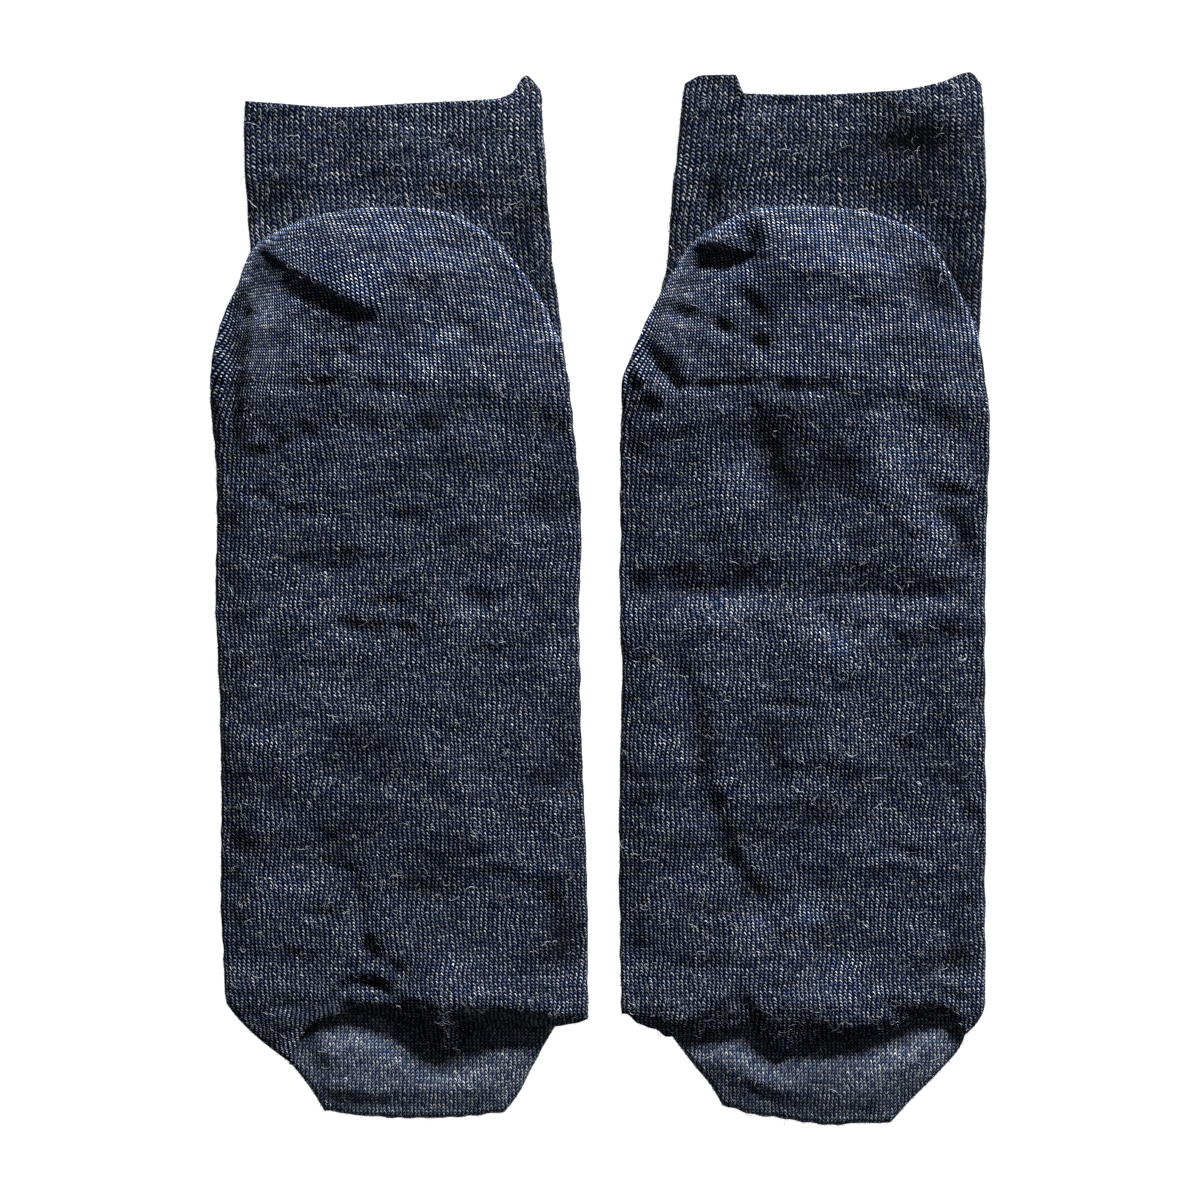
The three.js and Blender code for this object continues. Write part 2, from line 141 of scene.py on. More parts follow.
# The lip where the sole's end rolls over on the toe cap.
FLAP_EDGE = 3.6  # level of its sides
LIP_NOSE = 4.4
LIP_UNDERSIDE = 3.5
LIP_ROLL = 1.6  # how far back from its nose the lip is rolled
LIP_ROLL_HEIGHT = 1.0
LIP_SWELL = 9.0  # how far behind its crest the lip's swelling dies out
LIP_TUCK = 1.5  # how far its underside turns back
LIP_TURNS = (25, 50, 75, 90)  # degrees, a row of its underside at each
LIP_WALL = 1.1
LIP_SEARCH = 28.0  # rows further from the seam than this are clear of the lip

# A fold runs from start to end. A positive height is a ridge, a negative one a trough. bow curves
# it to its left. lean makes its left side steep (towards 1) or its right side (towards -1).
# curl carries the crest over its steep side. sharp is 1 for a pressed crease and 2 for a soft one.
Fold = namedtuple("Fold", "start end width height bow lean curl sharp", defaults=(0, 0, 0, 2))

CURL_BEHIND = 1.1  # in the fold's width, how far the cloth is carried on its gentle side
CURL_AHEAD = 0.35  # and on its steep side

# A place where the cloth is crumpled by many small dents.
Crumple = namedtuple("Crumple", "centre reach count depth")

# The small unevenness of knitted edges: its size, the lengths of its waves and their number.
EDGE_WOBBLE = 0.09
LIP_WOBBLE = 0.2
TIP_WOBBLE = 0.16
TIP_WOBBLE_REACH = 4.0
WOBBLE_WAVES = (4, 22)
WOBBLE_COUNT = 6

# The dents all over each sock: how many, how deep, their least and greatest width, their stretch.
DENTS = [(1100, 0.22, 1.1, 2.4, 2.4), (200, 0.42, 3, 6.5, 1.7)]
DENTED_WIDTH = 100.0  # from the middle of the pair to each side
DENTED_START = -100.0  # from the ledge to the cuff's mouth
DENTED_END = 134.0
DENT_TURN = 0.35  # how far dents turn from lying across the sock, in radians
CUFF_AND_TOE_DENTS = 0.6  # their share on the cuff and the toe cap
LOWER_DENTS = 0.4  # and on the lower layers

# The dents of a crumpled place: from deepest to highest, their widths, their stretch and turn.
CRUMPLE_HEIGHTS = (-1, 0.7)
CRUMPLE_WIDTHS = (1.3, 2.6)
CRUMPLE_STRETCH = 1.8
CRUMPLE_TURN = 0.6
TOE_CRUMPLES = 0.4  # their share on the toe cap

# A place where the yarn is made lighter (above 0) or darker (below 0): mostly painted light and
# shade that the folds and edges would get from the lamp, partly the yarn's own tone.
Patch = namedtuple("Patch", "centre reach shade")

# A place from which the columns of stitches lean: towards the left going up where above 0.
Lean = namedtuple("Lean", "centre reach slope")

LEFT_SOCK = SimpleNamespace(
    name="left",
    seed=11,
    foot=[  # y, left edge, right edge
        (TOE_SEAM_Y, -93.6, -3.0),
        (-90, -94.3, -3.0),
        (-72, -95.0, -3.2),
        (-54, -94.8, -3.8),
        (-36, -95.0, -4.6),
        (-18, -95.5, -5.0),
        (0, -96.3, -5.2),
        (14, -96.0, -4.6),
        (27, -95.9, -5.1),
        (36, -96.3, -5.8),
        (44, -96.9, -6.7),
        (49.5, -97.3, -7.2),
        (ANKLE_Y, -97.4, -7.6),
    ],
    heel=SimpleNamespace(
        middle=-52.4,
        half_width=44.8,
        height=44.1,
        flank=1.5,
        crown=0.36,
        shoulder=0.03,
        drift=[(0, 0), (0.25, -0.8), (0.5, -1.1), (0.8, -2.9), (0.93, -1.6), (1, 0.2)],
    ),
    leg=[  # y, left edge, right edge
        (ANKLE_Y, -95.0, -8.0),
        (70, -91.5, -9.9),
        (86, -87.6, -11.9),
        (102, -88.6, -13.2),
        (115, -89.2, -14.1),
        (124, -88.8, -14.8),
    ],
    mouth=[  # share across, rise
        (0, 0.8),
        (0.1, 0.2),
        (0.32, -0.8),
        (0.55, 0.1),
        (0.85, 1.3),
        (0.9, 2.6),
        (0.95, 7.2),
        (1, 3.6),
    ],
    ledge=[  # x, y
        (-76.2, -116.2),
        (-75.0, -110.0),
        (-70.0, -105.2),
        (-62.0, -102.9),
        (-51.0, -105.8),
        (-44.0, -110.2),
        (-39.6, -113.6),
        (-35.4, -111.6),
        (-31.0, -107.6),
        (-22.0, -106.4),
        (-9.0, -106.3),
        (-3.0, -104.6),
    ],
    ledge_shoulder=(-1.6, 0),
    lip=[  # x, swelling, reach
        (-80, 0.2, 5),
        (-66, 0.0, 6),
        (-56, 0.4, 6.5),
        (-48, 3.0, 10),
        (-40, 4.6, 12),
        (-32, 4.4, 8.5),
        (-24, 4.2, 6),
        (-12, 2.2, 4),
        (-3, 1.0, 3),
    ],
    toe=[  # left end, right end, bow, from the tip to the seam
        ((-68.9, -127.9), (-23.9, -128.2), -1.7),
        ((-72.0, -123.0), (-20.4, -123.6), -0.6),
        ((-76.6, -117.0), (-17.0, -117.0), 0),
        ((-83.6, -110.0), (-13.2, -110.0), 0),
        ((-91.0, TOE_SEAM_Y), (-7.6, TOE_SEAM_Y), 0),
    ],
    folds=[
        # the pleat across the heel, its hollow, and the dents round it
        Fold((-88.5, 91.5), (-55, 71.5), 5.5, 2.0, 0.6, -0.85, 2.4),
        Fold((-84, 83), (-60, 69.5), 2.6, -0.9),
        Fold((-64, 79), (-52, 73), 3, 0.8),
        Fold((-53, 67), (-44, 64.5), 2.6, -0.8),
        Fold((-49, 77.5), (-40, 76), 3.0, -0.9),
        Fold((-74, 61), (-67, 59), 1.8, -1.2),
        Fold((-66, 62.5), (-60, 60.5), 1.6, -1.1),
        Fold((-38, 69), (-31, 66), 2.0, -0.8),
        Fold((-62, 51.5), (-46, 52), 2.4, -0.8),
        Fold((-92, 53.5), (-62, 53), 1.0, -0.5, 0, 0.2, 0, 1.3),
        Fold((-98, 54), (-91, 53.5), 1.2, -0.9),
        # the strip along the left edge
        Fold((-89.5, 77), (-91.8, 38), 1.9, -2.0),
        Fold((-87.5, 73), (-90, 58), 1.6, -1.2),
        Fold((-94.8, 70), (-94.4, 38), 1.6, 0.7),
        Fold((-90, 36.5), (-79, 36.5), 1.6, -1.1),
        Fold((-82, 37.5), (-71, 41), 1.8, -1.2),
        Fold((-89, 26.5), (-80, 24.5), 1.6, -1.2),
        Fold((-80, 22), (-64, 20), 1.8, -1.2),
        # dents and swells above the press line
        Fold((-63, 44.5), (-54, 41.5), 2.6, -0.7),
        Fold((-46, 46), (-41, 39.5), 2.4, -0.7),
        Fold((-58, 34), (-36, 26), 7, 1.0),
        Fold((-40, 40), (-26, 36), 5, 0.8),
        Fold((-18, 47), (-8, 40), 3.4, -1.4),
        # press lines across the sole
        Fold((-80, 9.5), (-60, 8.6), 1.8, -0.5, 0, 0.3, 0, 1.4),
        Fold((-70, 6.8), (-61, 7.2), 2, -0.7),
        Fold((-62, 9.5), (-44, 10.5), 1.6, -0.8, 0, 0.3, 0, 1.4),
        Fold((-46, 10), (-31, 16), 2.0, -1.0),
        Fold((-90, -1.2), (-66, 0.5), 1.6, 0.5),
        Fold((-60, -1), (-48, -1.5), 2.2, -1.3),
        Fold((-67, -7), (-53, -8), 2.6, -1.7),
        Fold((-53, -7), (-46, -8), 2, -1.2),
        Fold((-36, 1.5), (-26, -3), 3.2, -2.0),
        Fold((-20, 0), (-10, -8), 3, -0.9),
        # the broad hollow along the middle, and the swells beside it
        Fold((-74, -42), (-50, -44), 5, -1.0),
        Fold((-70, -60), (-64, -74), 5, -1.6),
        Fold((-62, -66), (-58, -92), 2.4, -1.3),
        Fold((-47, -62), (-35, -75), 5, -1.0),
        Fold((-97, -59), (-84, -65), 3, -1.1),
        Fold((-14, -74), (-5, -88), 3.4, -2.2),
        Fold((-12, -30), (-5, -52), 3.5, -1.0),
        Fold((-36, -40), (-27, -62), 8, 1.5),
        Fold((-86, -66), (-73, -86), 9, 0.8),
        Fold((-46, -80), (-38, -94), 6, 1.1),
        Fold((-18, -82), (-14, -94), 4, 1.1),
        # the crumple above the ledge
        Fold((-68, -100.5), (-51, -99.5), 2.0, -2.2, 4.5),
        Fold((-54, -89), (-43, -98), 1.5, -0.6),
        Fold((-65, -99.5), (-50, -101), 1.8, 2.2),
        Fold((-58, -84), (-56, -92), 1.6, -0.9),
        Fold((-84, -100), (-72, -103), 2.4, -1.0),
    ],
    folds_below=[
        Fold((-84, 92), (-48, 80), 3.5, 0.8, 1),
        Fold((-40, 112), (-22, 104), 2.4, 0.6),
        Fold((-90, 48), (-58, 36), 4, 1.0, -1.5),
        Fold((-46, 40), (-14, 26), 3, 0.7, 1),
        Fold((-92, 6), (-30, 3), 3, 0.8, 0.5, 0.3),
        Fold((-70, -20), (-62, -64), 3.5, 0.9, 1.5),
        Fold((-40, -34), (-24, -70), 4.5, 0.8, -1.5),
        Fold((-88, -78), (-64, -92), 3, 0.7),
        Fold((-60, -114), (-38, -120), 2.2, 0.5),
    ],
    leg_folds=[
        Fold((-17.6, 131), (-12.4, 68), 0.9, -0.9),
        Fold((-15.4, 131), (-11.2, 68), 0.7, -0.6),
        Fold((-16.4, 131), (-11.8, 68), 0.8, 0.4),
        Fold((-47, 107.5), (-30, 105.5), 1.2, -0.3, 0, 0, 0, 1),
    ],
    toe_folds=[
        Fold((-72, -121), (-52, -123.5), 2.0, 0.5),
        Fold((-68, -124.5), (-50, -126), 1.2, -0.4),
        Fold((-76, -114), (-62, -119), 2.4, -0.4),
    ],
    crumples=[
        Crumple((-66, 54), (24, 16), 70, 0.5),
        Crumple((-55, -94), (24, 7), 34, 0.5),
        Crumple((-58, 40), (24, 14), 60, 0.4),
    ],
    fuzz=[
        Patch((-40, -103), (13, 7), 1.0),
        Patch((-60, -92), (10, 8), 0.6),
        Patch((-18, -104), (12, 3), 0.5),
        Patch((-50, -100), (50, 8), 0.1),
    ],
    # painted light and shade on folds, edges and the band under the lip; some of the yarn's own
    # tone
    painted_light_and_tone=[
        Patch((-83, 101), (9, 5), -0.65),
        Patch((-19, 90), (6, 12), -0.6),
        Patch((-52, 106.5), (9, 1.4), -0.6),
        Patch((-44, 113), (14, 8), 0.2),
        Patch((-52, 92), (24, 6), 0.3),
        Patch((-28, 120), (8, 5), 0.15),
        Patch((-90.5, 64), (2.6, 8), -1.1),
        Patch((-84.5, 82), (4, 5), -0.8),
        Patch((-44, 77.5), (6, 3), -0.4),
        Patch((-48, 65.5), (6, 2.6), -0.45),
        Patch((-68, 61), (4, 2), -0.45),
        Patch((-88, -43), (9, 4), 0.8),
        Patch((-92.5, -64), (4, 4), -0.4),
        Patch((-13, 42), (6, 10), -0.5),
        Patch((-12, 27), (5, 7), -0.35),
        Patch((-59, 78), (4, 3.5), 0.9),
        Patch((-42, 59), (5, 4), 0.9),
        Patch((-82, 70), (6, 4), 0.6),
        Patch((-44, 31), (20, 7), 0.15),
        Patch((-82, -1), (13, 1.8), 0.25),
        Patch((-9, -35), (5, 9), -0.6),
        Patch((-10, -83), (5, 8), -0.8),
        Patch((-93, -60), (6, 6), -0.1),
        Patch((-55, -60), (50, 40), -0.12),
        Patch((-65, -48), (20, 12), -0.15),
        Patch((-65, -64), (8, 8), -0.2),
        Patch((-42, -71), (7, 5), -0.5),
        Patch((-34, -48), (11, 9), 0.3),
        Patch((-81, -76), (10, 12), 0.25),
        Patch((-38, -107), (4, 7), -0.45),
        Patch((-78, -108), (7, 7), -0.8),
        Patch((-50, -124), (30, 7), 0.15),
    ],
    leans=[
        Lean((-50, 88), (48, 26), 0.2),
        Lean((-72, 96), (22, 14), 0.3),
        Lean((-92, 58), (9, 16), -0.45),
    ],
)

RIGHT_SOCK = SimpleNamespace(
    name="right",
    seed=23,
    foot=[
        (TOE_SEAM_Y, 5.2, 96.3),
        (-90, 5.1, 96.5),
        (-72, 4.8, 96.4),
        (-54, 4.8, 96.7),
        (-36, 5.1, 96.5),
        (-18, 5.5, 96.4),
        (0, 4.9, 96.5),
        (14, 5.1, 96.7),
        (27, 5.1, 97.1),
        (36, 5.0, 97.4),
        (44, 5.3, 97.5),
        (49.5, 5.4, 97.0),
        (ANKLE_Y, 5.3, 96.2),
    ],
    heel=SimpleNamespace(
        middle=50.7,
        half_width=45.4,
        height=44.5,
        flank=1.3,
        crown=0.36,
        shoulder=0.04,
        drift=[(0, 0), (0.35, 1.6), (0.88, 2.1), (1, -0.6)],
    ),
    leg=[
        (ANKLE_Y, 8.0, 94.4),
        (70, 13.6, 95.2),
        (86, 16.9, 96.0),
        (102, 18.1, 96.7),
        (115, 20.0, 96.3),
        (124, 21.0, 95.4),
    ],
    mouth=[
        (0, 5.2),
        (0.06, 7.2),
        (0.17, 7.3),
        (0.2, 2.6),
        (0.4, 2.3),
        (0.7, 3.2),
        (0.86, 5.4),
        (0.96, 8.0),
        (1, 5.0),
    ],
    ledge=[
        (5.4, -103.2),
        (11.5, -106.4),
        (18.0, -109.0),
        (27.0, -108.2),
        (37.0, -106.6),
        (41.0, -109.6),
        (45.2, -113.0),
        (50.0, -111.0),
        (62.0, -110.0),
        (74.0, -107.2),
        (83.0, -103.2),
        (87.5, -104.6),
        (91.2, -108.6),
    ],
    ledge_shoulder=(0, 1.0),
    lip=[
        (5, 0.3, 3),
        (17, 1.0, 4.5),
        (27, 1.6, 7.5),
        (36, 2.0, 9),
        (41, 1.2, 6),
        (46, 1.2, 8.5),
        (55, 0.9, 6),
        (65, 0.9, 4),
        (72, 1.2, 5.5),
        (80, 1.0, 4),
        (86, 1.0, 4),
        (92, 1.4, 6),
    ],
    toe=[
        ((30.6, -126.5), (72.8, -130.7), -2.2),
        ((27.6, -121.4), (77.6, -125.4), -0.8),
        ((23.6, -116.6), (84.0, -119.0), 0),
        ((18.6, -110.0), (90.6, -111.0), 0),
        ((11.4, TOE_SEAM_Y), (93.6, TOE_SEAM_Y), 0),
    ],
    folds=[
        # the hollow under the heel's corner, and the ridge beside it
        Fold((10, 91), (43, 86.5), 6.6, 3.8, 1.4, -0.82, 1.8),
        Fold((20, 85.5), (39, 84), 3.2, -2.4),
        Fold((36, 95), (39, 86), 2.4, -3.2),
        Fold((36, 96.5), (66, 79), 5.5, 1.1, 0, -0.3),
        Fold((34, 78), (42, 68), 3.0, -1.8, 0, 0.3),
        Fold((28, 68.5), (34, 65.5), 2, -1.4),
        Fold((37, 65), (42, 61.5), 2.2, -1.6),
        Fold((47, 75.5), (53, 71.5), 2.6, -0.8),
        Fold((61, 73.5), (68, 72), 2.4, -0.6),
        Fold((71, 87), (78, 79), 3.5, -1.1),
        Fold((78, 80), (85, 74), 3, -1.4),
        # creases at the heel's left side
        Fold((16, 75), (26, 73), 2.4, 0.7, 0, -0.5),
        Fold((17, 72), (33, 67), 1.8, -1.1),
        Fold((17, 67), (27, 66), 2.8, 0.7),
        Fold((11, 64), (21, 51.5), 1.7, -1.9, 0, 0.3),
        Fold((14, 66), (24, 57), 2.4, 0.7),
        Fold((8, 60), (12, 50), 1.8, 0.6),
        Fold((5.5, 56), (10.5, 51.5), 1.8, -1.5),
        Fold((11, 51), (14, 46.5), 1.5, -1.3),
        # the pressed folds at the ankle and across the middle of the sole
        Fold((8, 53.6), (98, 55), 1.1, -0.7, 0, 0, 0, 1),
        Fold((21, 53), (42, 53), 1.6, -1.0, 0.3, 0.4, 0, 1.4),
        Fold((43, 53.2), (61, 52.6), 2.0, -1.8, -0.3, 0.4, 0, 1.6),
        Fold((3, 2.2), (49, 1.2), 4.8, -3.2, 0.4, -0.5, 0, 1.2),
        Fold((49, 1.8), (92, 0.6), 4.8, -3.2, -0.4, -0.5, 0, 1.2),
        Fold((36, 4), (43, 10), 2, -1.0),
        Fold((8, 9), (27, 8.5), 4.5, 0.6, 0, -0.6, 0, 1.6),
        Fold((49, 9.5), (84, 8), 5, 0.5, 0.5, -0.6, 0, 1.6),
        # broad folds between them
        Fold((37, 45), (49, 20), 5.5, -1.5, 0, 0.3),
        Fold((49, 22), (61, 36), 5, -1.2, -1.0),
        Fold((27, 34), (42, 17), 7, 1.0),
        Fold((67, 40), (88, 4), 5.5, 1.1, 1, 0.3),
        Fold((64, 52), (74, 42), 5, 0.7),
        Fold((36, 48.5), (40, 46), 1.8, -1.3),
        Fold((84, 46), (94, 38), 3, -0.7),
        Fold((82, 27), (94, 26), 1.6, -1.3),
        Fold((86, 22), (94, 9), 3.2, -2.2),
        # and towards the toes
        Fold((18, -12), (28, -44), 4, -1.4, 0, 0.2),
        Fold((24, -42), (33, -68), 3.6, -1.9, 1, 0.3),
        Fold((31, -63), (44, -77), 3.4, -1.6, -1.2, 0.3),
        Fold((48, 1), (63, -20), 5, 0.8, 0, 0.3),
        Fold((52, -2), (66, -10), 2.8, -1.3),
        Fold((68, -5), (77, -13), 2.4, -1.2),
        Fold((82, -2), (94, -6), 4, 1.0),
        Fold((86, -8), (96, -18), 3.5, -0.4),
        Fold((38, -26), (55, -27), 1.6, -1.2),
        Fold((38, -30), (46, -50), 3.5, -1.1),
        Fold((46, -49), (63, -61), 3.6, -1.4),
        Fold((61, -42), (65, -51), 2.6, -0.4),
        Fold((70, -46), (74, -51), 2.2, -0.7),
        Fold((60, -28), (69, -42), 6, 0.7),
        Fold((80, -30), (90, -42), 3.5, -1.3),
        Fold((88, -48), (96, -60), 2.6, -1.9),
        Fold((68, -60), (84, -66), 1.8, -1.0),
        Fold((85, -90), (92, -74), 2.4, -1.8),
        Fold((78, -92), (92, -91.5), 1.6, -1.0),
        Fold((46, -83), (56, -91), 3.5, -0.6),
        Fold((33, -77), (40, -94), 6, 0.9),
        # above the ledge
        Fold((18, -98.5), (25, -97), 2, -1.3),
        Fold((33, -98), (38, -104), 2.2, -1.2),
        Fold((41, -99), (64, -103), 3, 1.0),
        Fold((70, -100), (76, -104), 2, -1.5),
        Fold((84, -98), (94, -102), 2.2, -1.5),
    ],
    folds_below=[
        Fold((22, 88), (60, 76), 3.5, 0.8, 1.2),
        Fold((64, 116), (86, 106), 2.6, 0.7),
        Fold((10, 44), (40, 30), 3.2, 0.8, 1),
        Fold((60, 46), (84, 14), 4, 0.9, -1.5),
        Fold((8, -4), (92, -7), 3.2, 0.9, 0.5, -0.3),
        Fold((22, -20), (34, -62), 3.5, 0.8, -1.2),
        Fold((58, -26), (80, -58), 4.5, 0.9, 1.5),
        Fold((44, -80), (74, -92), 3, 0.6),
        Fold((40, -112), (66, -120), 2.2, 0.5),
    ],
    leg_folds=[
        Fold((34.4, 127), (24.6, 94), 1.3, -1.1),
        Fold((36.2, 127), (36.0, 92), 0.8, 0.5),
        Fold((35.2, 127), (34.8, 92), 0.7, -0.5),
        Fold((38, 107), (78, 107.4), 1.1, -0.35, 0, 0, 0, 1),
    ],
    toe_folds=[
        Fold((35, -121), (44, -125), 1.4, -0.7),
        Fold((33, -118), (50, -123), 2.6, 0.4),
        Fold((28, -112), (60, -116), 3, -0.3),
    ],
    crumples=[
        Crumple((28, 64), (18, 14), 60, 0.5),
        Crumple((50, -96), (40, 7), 44, 0.5),
        Crumple((46, 20), (30, 26), 60, 0.4),
    ],
    fuzz=[
        Patch((60, -103), (30, 4), 0.5),
        Patch((80, -94), (12, 8), 0.5),
        Patch((35, -104), (16, 5), 0.5),
    ],
    # painted light and shade on folds, edges and the band under the lip; some of the yarn's own
    # tone
    painted_light_and_tone=[
        Patch((79, 115.5), (16, 7), -0.95),
        Patch((80, 104), (10, 6), -0.5),
        Patch((89, 86), (7, 16), -0.65),
        Patch((29, 102), (3.2, 7), -0.8),
        Patch((21, 91), (6, 6), -0.65),
        Patch((26, 118), (8, 12), -0.15),
        Patch((50, 122), (17, 5), 0.2),
        Patch((56, 106.5), (14, 1.4), -0.6),
        Patch((56, 93), (24, 6), 0.2),
        Patch((50, 88), (7, 5), 0.5),
        Patch((61, 84), (7, 4), 0.4),
        Patch((44, 79), (4, 6), -0.9),
        Patch((83, 76), (6, 6), -0.8),
        Patch((80, 82), (6, 6), -0.45),
        Patch((38, 72), (4, 6), -0.45),
        Patch((51, 74), (5, 3), -0.3),
        Patch((38.5, 91), (3, 4), -1.3),
        Patch((70, 45), (6, 7), 0.45),
        Patch((47, 28), (5, 8), -0.6),
        Patch((51, 45), (11, 5), -0.4),
        Patch((61, 40), (4, 7), -0.3),
        Patch((72, 35), (4, 5), 0.7),
        Patch((59, 32), (5, 4), -0.35),
        Patch((76, 29), (4, 8), 0.8),
        Patch((83, 13), (4, 9), 0.6),
        Patch((35, 24), (8, 8), 0.45),
        Patch((56, 14), (6, 3), 0.25),
        Patch((57, -14), (5, 6), 0.9),
        Patch((50, -6), (5, 4), 0.9),
        Patch((28, -12), (4, 9), 0.2),
        Patch((26, -38), (3, 12), -0.8),
        Patch((31, -62), (3, 9), -0.45),
        Patch((38, -73), (5, 4), -0.4),
        Patch((43, -36), (4, 9), -0.3),
        Patch((52, -80), (3.5, 9), 0.7),
        Patch((60, -90), (5, 4), 0.5),
        Patch((54, -54), (9, 6), -0.5),
        Patch((87, -91.5), (8, 1.6), -0.4),
        Patch((55, -122), (40, 8), -0.3),
        Patch((91, 16), (4, 6), -0.6),
        Patch((91, 44), (5, 6), -0.2),
        Patch((92, -14), (5, 6), -0.25),
        Patch((84, -36), (7, 10), -0.45),
        Patch((91, -55), (4, 7), -0.25),
        Patch((90, -81), (4, 9), -0.55),
        Patch((44, 36), (6, 9), -0.45),
        Patch((65, -35), (7, 9), 0.2),
        Patch((35, -83), (7, 9), 0.15),
        Patch((48, -38), (9, 14), -0.15),
        Patch((8, -4), (4, 5), 0.3),
        Patch((43, 38), (4, 5), -0.4),
        Patch((9, 40), (4, 3), 0.3),
        Patch((35, -4), (18, 4), 0.15),
    ],
    leans=[
        Lean((60, 88), (50, 26), 0.06),
        Lean((30, 92), (10, 7), 0.3),
        Lean((12, 64), (9, 16), -0.45),
    ],
)


# ---- Curves, outlines and fields ----
def ease(value):
    value = np.clip(value, 0, 1)
    return value * value * (3 - 2 * value)


def mix(a, b, share):
    return a + (b - a) * share


def curve(rows, at):
    """Reads a table of (place, value) rows on a smooth curve that never overshoots its rows."""
    x, y = np.array(rows, float).T
    secant = np.diff(y) / np.diff(x)
    turning = secant[:-1] * secant[1:] <= 0
    total = np.where(turning, 1, secant[:-1] + secant[1:])
    inner = np.where(turning, 0, 2 * secant[:-1] * secant[1:] / total)
    slope = np.concatenate([secant[:1], inner, secant[-1:]])
    at = np.clip(at, x[0], x[-1])
    i = np.clip(np.searchsorted(x, at, side="right") - 1, 0, len(x) - 2)
    run = x[i + 1] - x[i]
    t = (at - x[i]) / run
    start = (1 + 2 * t) * (1 - t) ** 2 * y[i] + t * (1 - t) ** 2 * run * slope[i]
    return start + t * t * (3 - 2 * t) * y[i + 1] - t * t * (1 - t) * run * slope[i + 1]


def edges(rows, y):
    """The left and right edge of a tube at a place along Y."""
    table = np.array(rows, float)
    return curve(table[:, [0, 1]], y), curve(table[:, [0, 2]], y)


def wobble(seed, at, size=EDGE_WOBBLE):
    """The small unevenness of a knitted edge."""
    random = np.random.default_rng(seed)
    lengths = random.uniform(*WOBBLE_WAVES, WOBBLE_COUNT)
    phases = random.uniform(0, 2 * math.pi, WOBBLE_COUNT)
    waves = zip(lengths, phases)
    return size / 2 * sum(np.sin(2 * math.pi * at / wave + phase) for wave, phase in waves)


def edge_distance(outline, x, y):
    """How far places lie inside an outline, and the direction inwards from its nearest point."""
    start = outline[:-1]
    step = np.diff(outline, axis=0)
    length = np.hypot(step[:, 0], step[:, 1])
    gap_x = x[:, None] - start[:, 0]
    gap_y = y[:, None] - start[:, 1]
    along = np.clip((gap_x * step[:, 0] + gap_y * step[:, 1]) / length**2, 0, 1)
    distance = np.hypot(gap_x - along * step[:, 0], gap_y - along * step[:, 1])
    nearest = distance.argmin(axis=1)
    inwards = np.stack([step[nearest, 1], -step[nearest, 0]], 1) / length[nearest, None]
    return distance[np.arange(len(x)), nearest], inwards


def rounding(distance, reach):
    """Height share of a rolled edge: 0 at the edge itself, 1 from its reach inwards."""
    return np.sqrt(1 - (1 - np.clip(distance / reach, 0, 1)) ** 2)


def fold_field(folds, x, y):
    """The height that folds add, and how far they carry the cloth sideways."""
    height = np.zeros_like(x)
    carried = np.zeros((len(x), 2))
    for fold in folds:
        (x0, y0), (x1, y1) = fold.start, fold.end
        dx, dy = x1 - x0, y1 - y0
        length = math.hypot(dx, dy)
        along = ((x - x0) * dx + (y - y0) * dy) / length**2
        taper = np.sqrt(np.clip(4 * along * (1 - along), 0, 1))
        across = ((y - y0) * dx - (x - x0) * dy) / length - fold.bow * taper**2
        side = fold.width * np.where(across > 0, 1 - fold.lean, 1 + fold.lean)
        height += fold.height * taper * np.exp(-((np.abs(across) / side) ** fold.sharp))
        if fold.curl:
            towards = math.copysign(1, fold.lean) * np.array([-dy, dx]) / length
            spread = fold.width * np.where(across * fold.lean < 0, CURL_BEHIND, CURL_AHEAD)
            pull = fold.curl * taper * np.exp(-((across / spread) ** 2))
            carried += pull[:, None] * towards
    return height, carried


def dents(x, y, places, depths, widths, stretch, turns):
    """The height of many small dents, each longer across the sock than along it."""
    off_x = x[:, None] - places[:, 0]
    off_y = y[:, None] - places[:, 1]
    along = (off_x * np.cos(turns) + off_y * np.sin(turns)) / (stretch * widths)
    across = (off_y * np.cos(turns) - off_x * np.sin(turns)) / widths
    return (depths * np.exp(-(along**2) - across**2)).sum(axis=1)


def crumple_field(sock, x, y):
    """The many small dents and lumps of crumpled knit."""
    random = np.random.default_rng(sock.seed)
    height = np.zeros_like(x)
    for crumple in sock.crumples:
        places = random.normal(crumple.centre, crumple.reach, (crumple.count, 2))
        depths = random.uniform(*CRUMPLE_HEIGHTS, crumple.count) * crumple.depth
        widths = random.uniform(*CRUMPLE_WIDTHS, crumple.count)
        turns = random.normal(0, CRUMPLE_TURN, crumple.count)
        height += dents(x, y, places, depths, widths, CRUMPLE_STRETCH, turns)
    return height


def dented(sock, x, y):
    """The uneven lie of loose knit: shallow dents all over, and a few broad ones."""
    random = np.random.default_rng(sock.seed + 70)
    left, right = sorted((0.0, math.copysign(DENTED_WIDTH, sock.heel.middle)))
    height = np.zeros_like(x)
    for count, depth, narrow, wide, stretch in DENTS:
        places = random.uniform((left, DENTED_START), (right, DENTED_END), (count, 2))
        depths = random.normal(0, depth, count)
        widths = random.uniform(narrow, wide, count)
        turns = random.normal(0, DENT_TURN, count)
        height += dents(x, y, places, depths, widths, stretch, turns)
    return height


def creases_below(sock, x, y, distance):
    """How far the lower layer's own creases hold it off the floor."""
    height, _ = fold_field(sock.folds_below, x, y)
    height += LOWER_DENTS * dented(sock, x, -y)
    return np.clip(height, 0, HIGHEST_CREASE) * ease(distance / FOLD_FADE)


def near_place(place, x, y):
    """1 at the middle of a soft round place, dying out at its reach."""
    across = ((x - place.centre[0]) / place.reach[0]) ** 2
    return np.exp(-across - ((y - place.centre[1]) / place.reach[1]) ** 2)


def shade_at(sock, x, y):
    # the patches summed: mostly painted light and shade, partly the yarn's own tone
    shades = (patch.shade * near_place(patch, x, y) for patch in sock.painted_light_and_tone)
    return sum(shades, np.zeros_like(x))


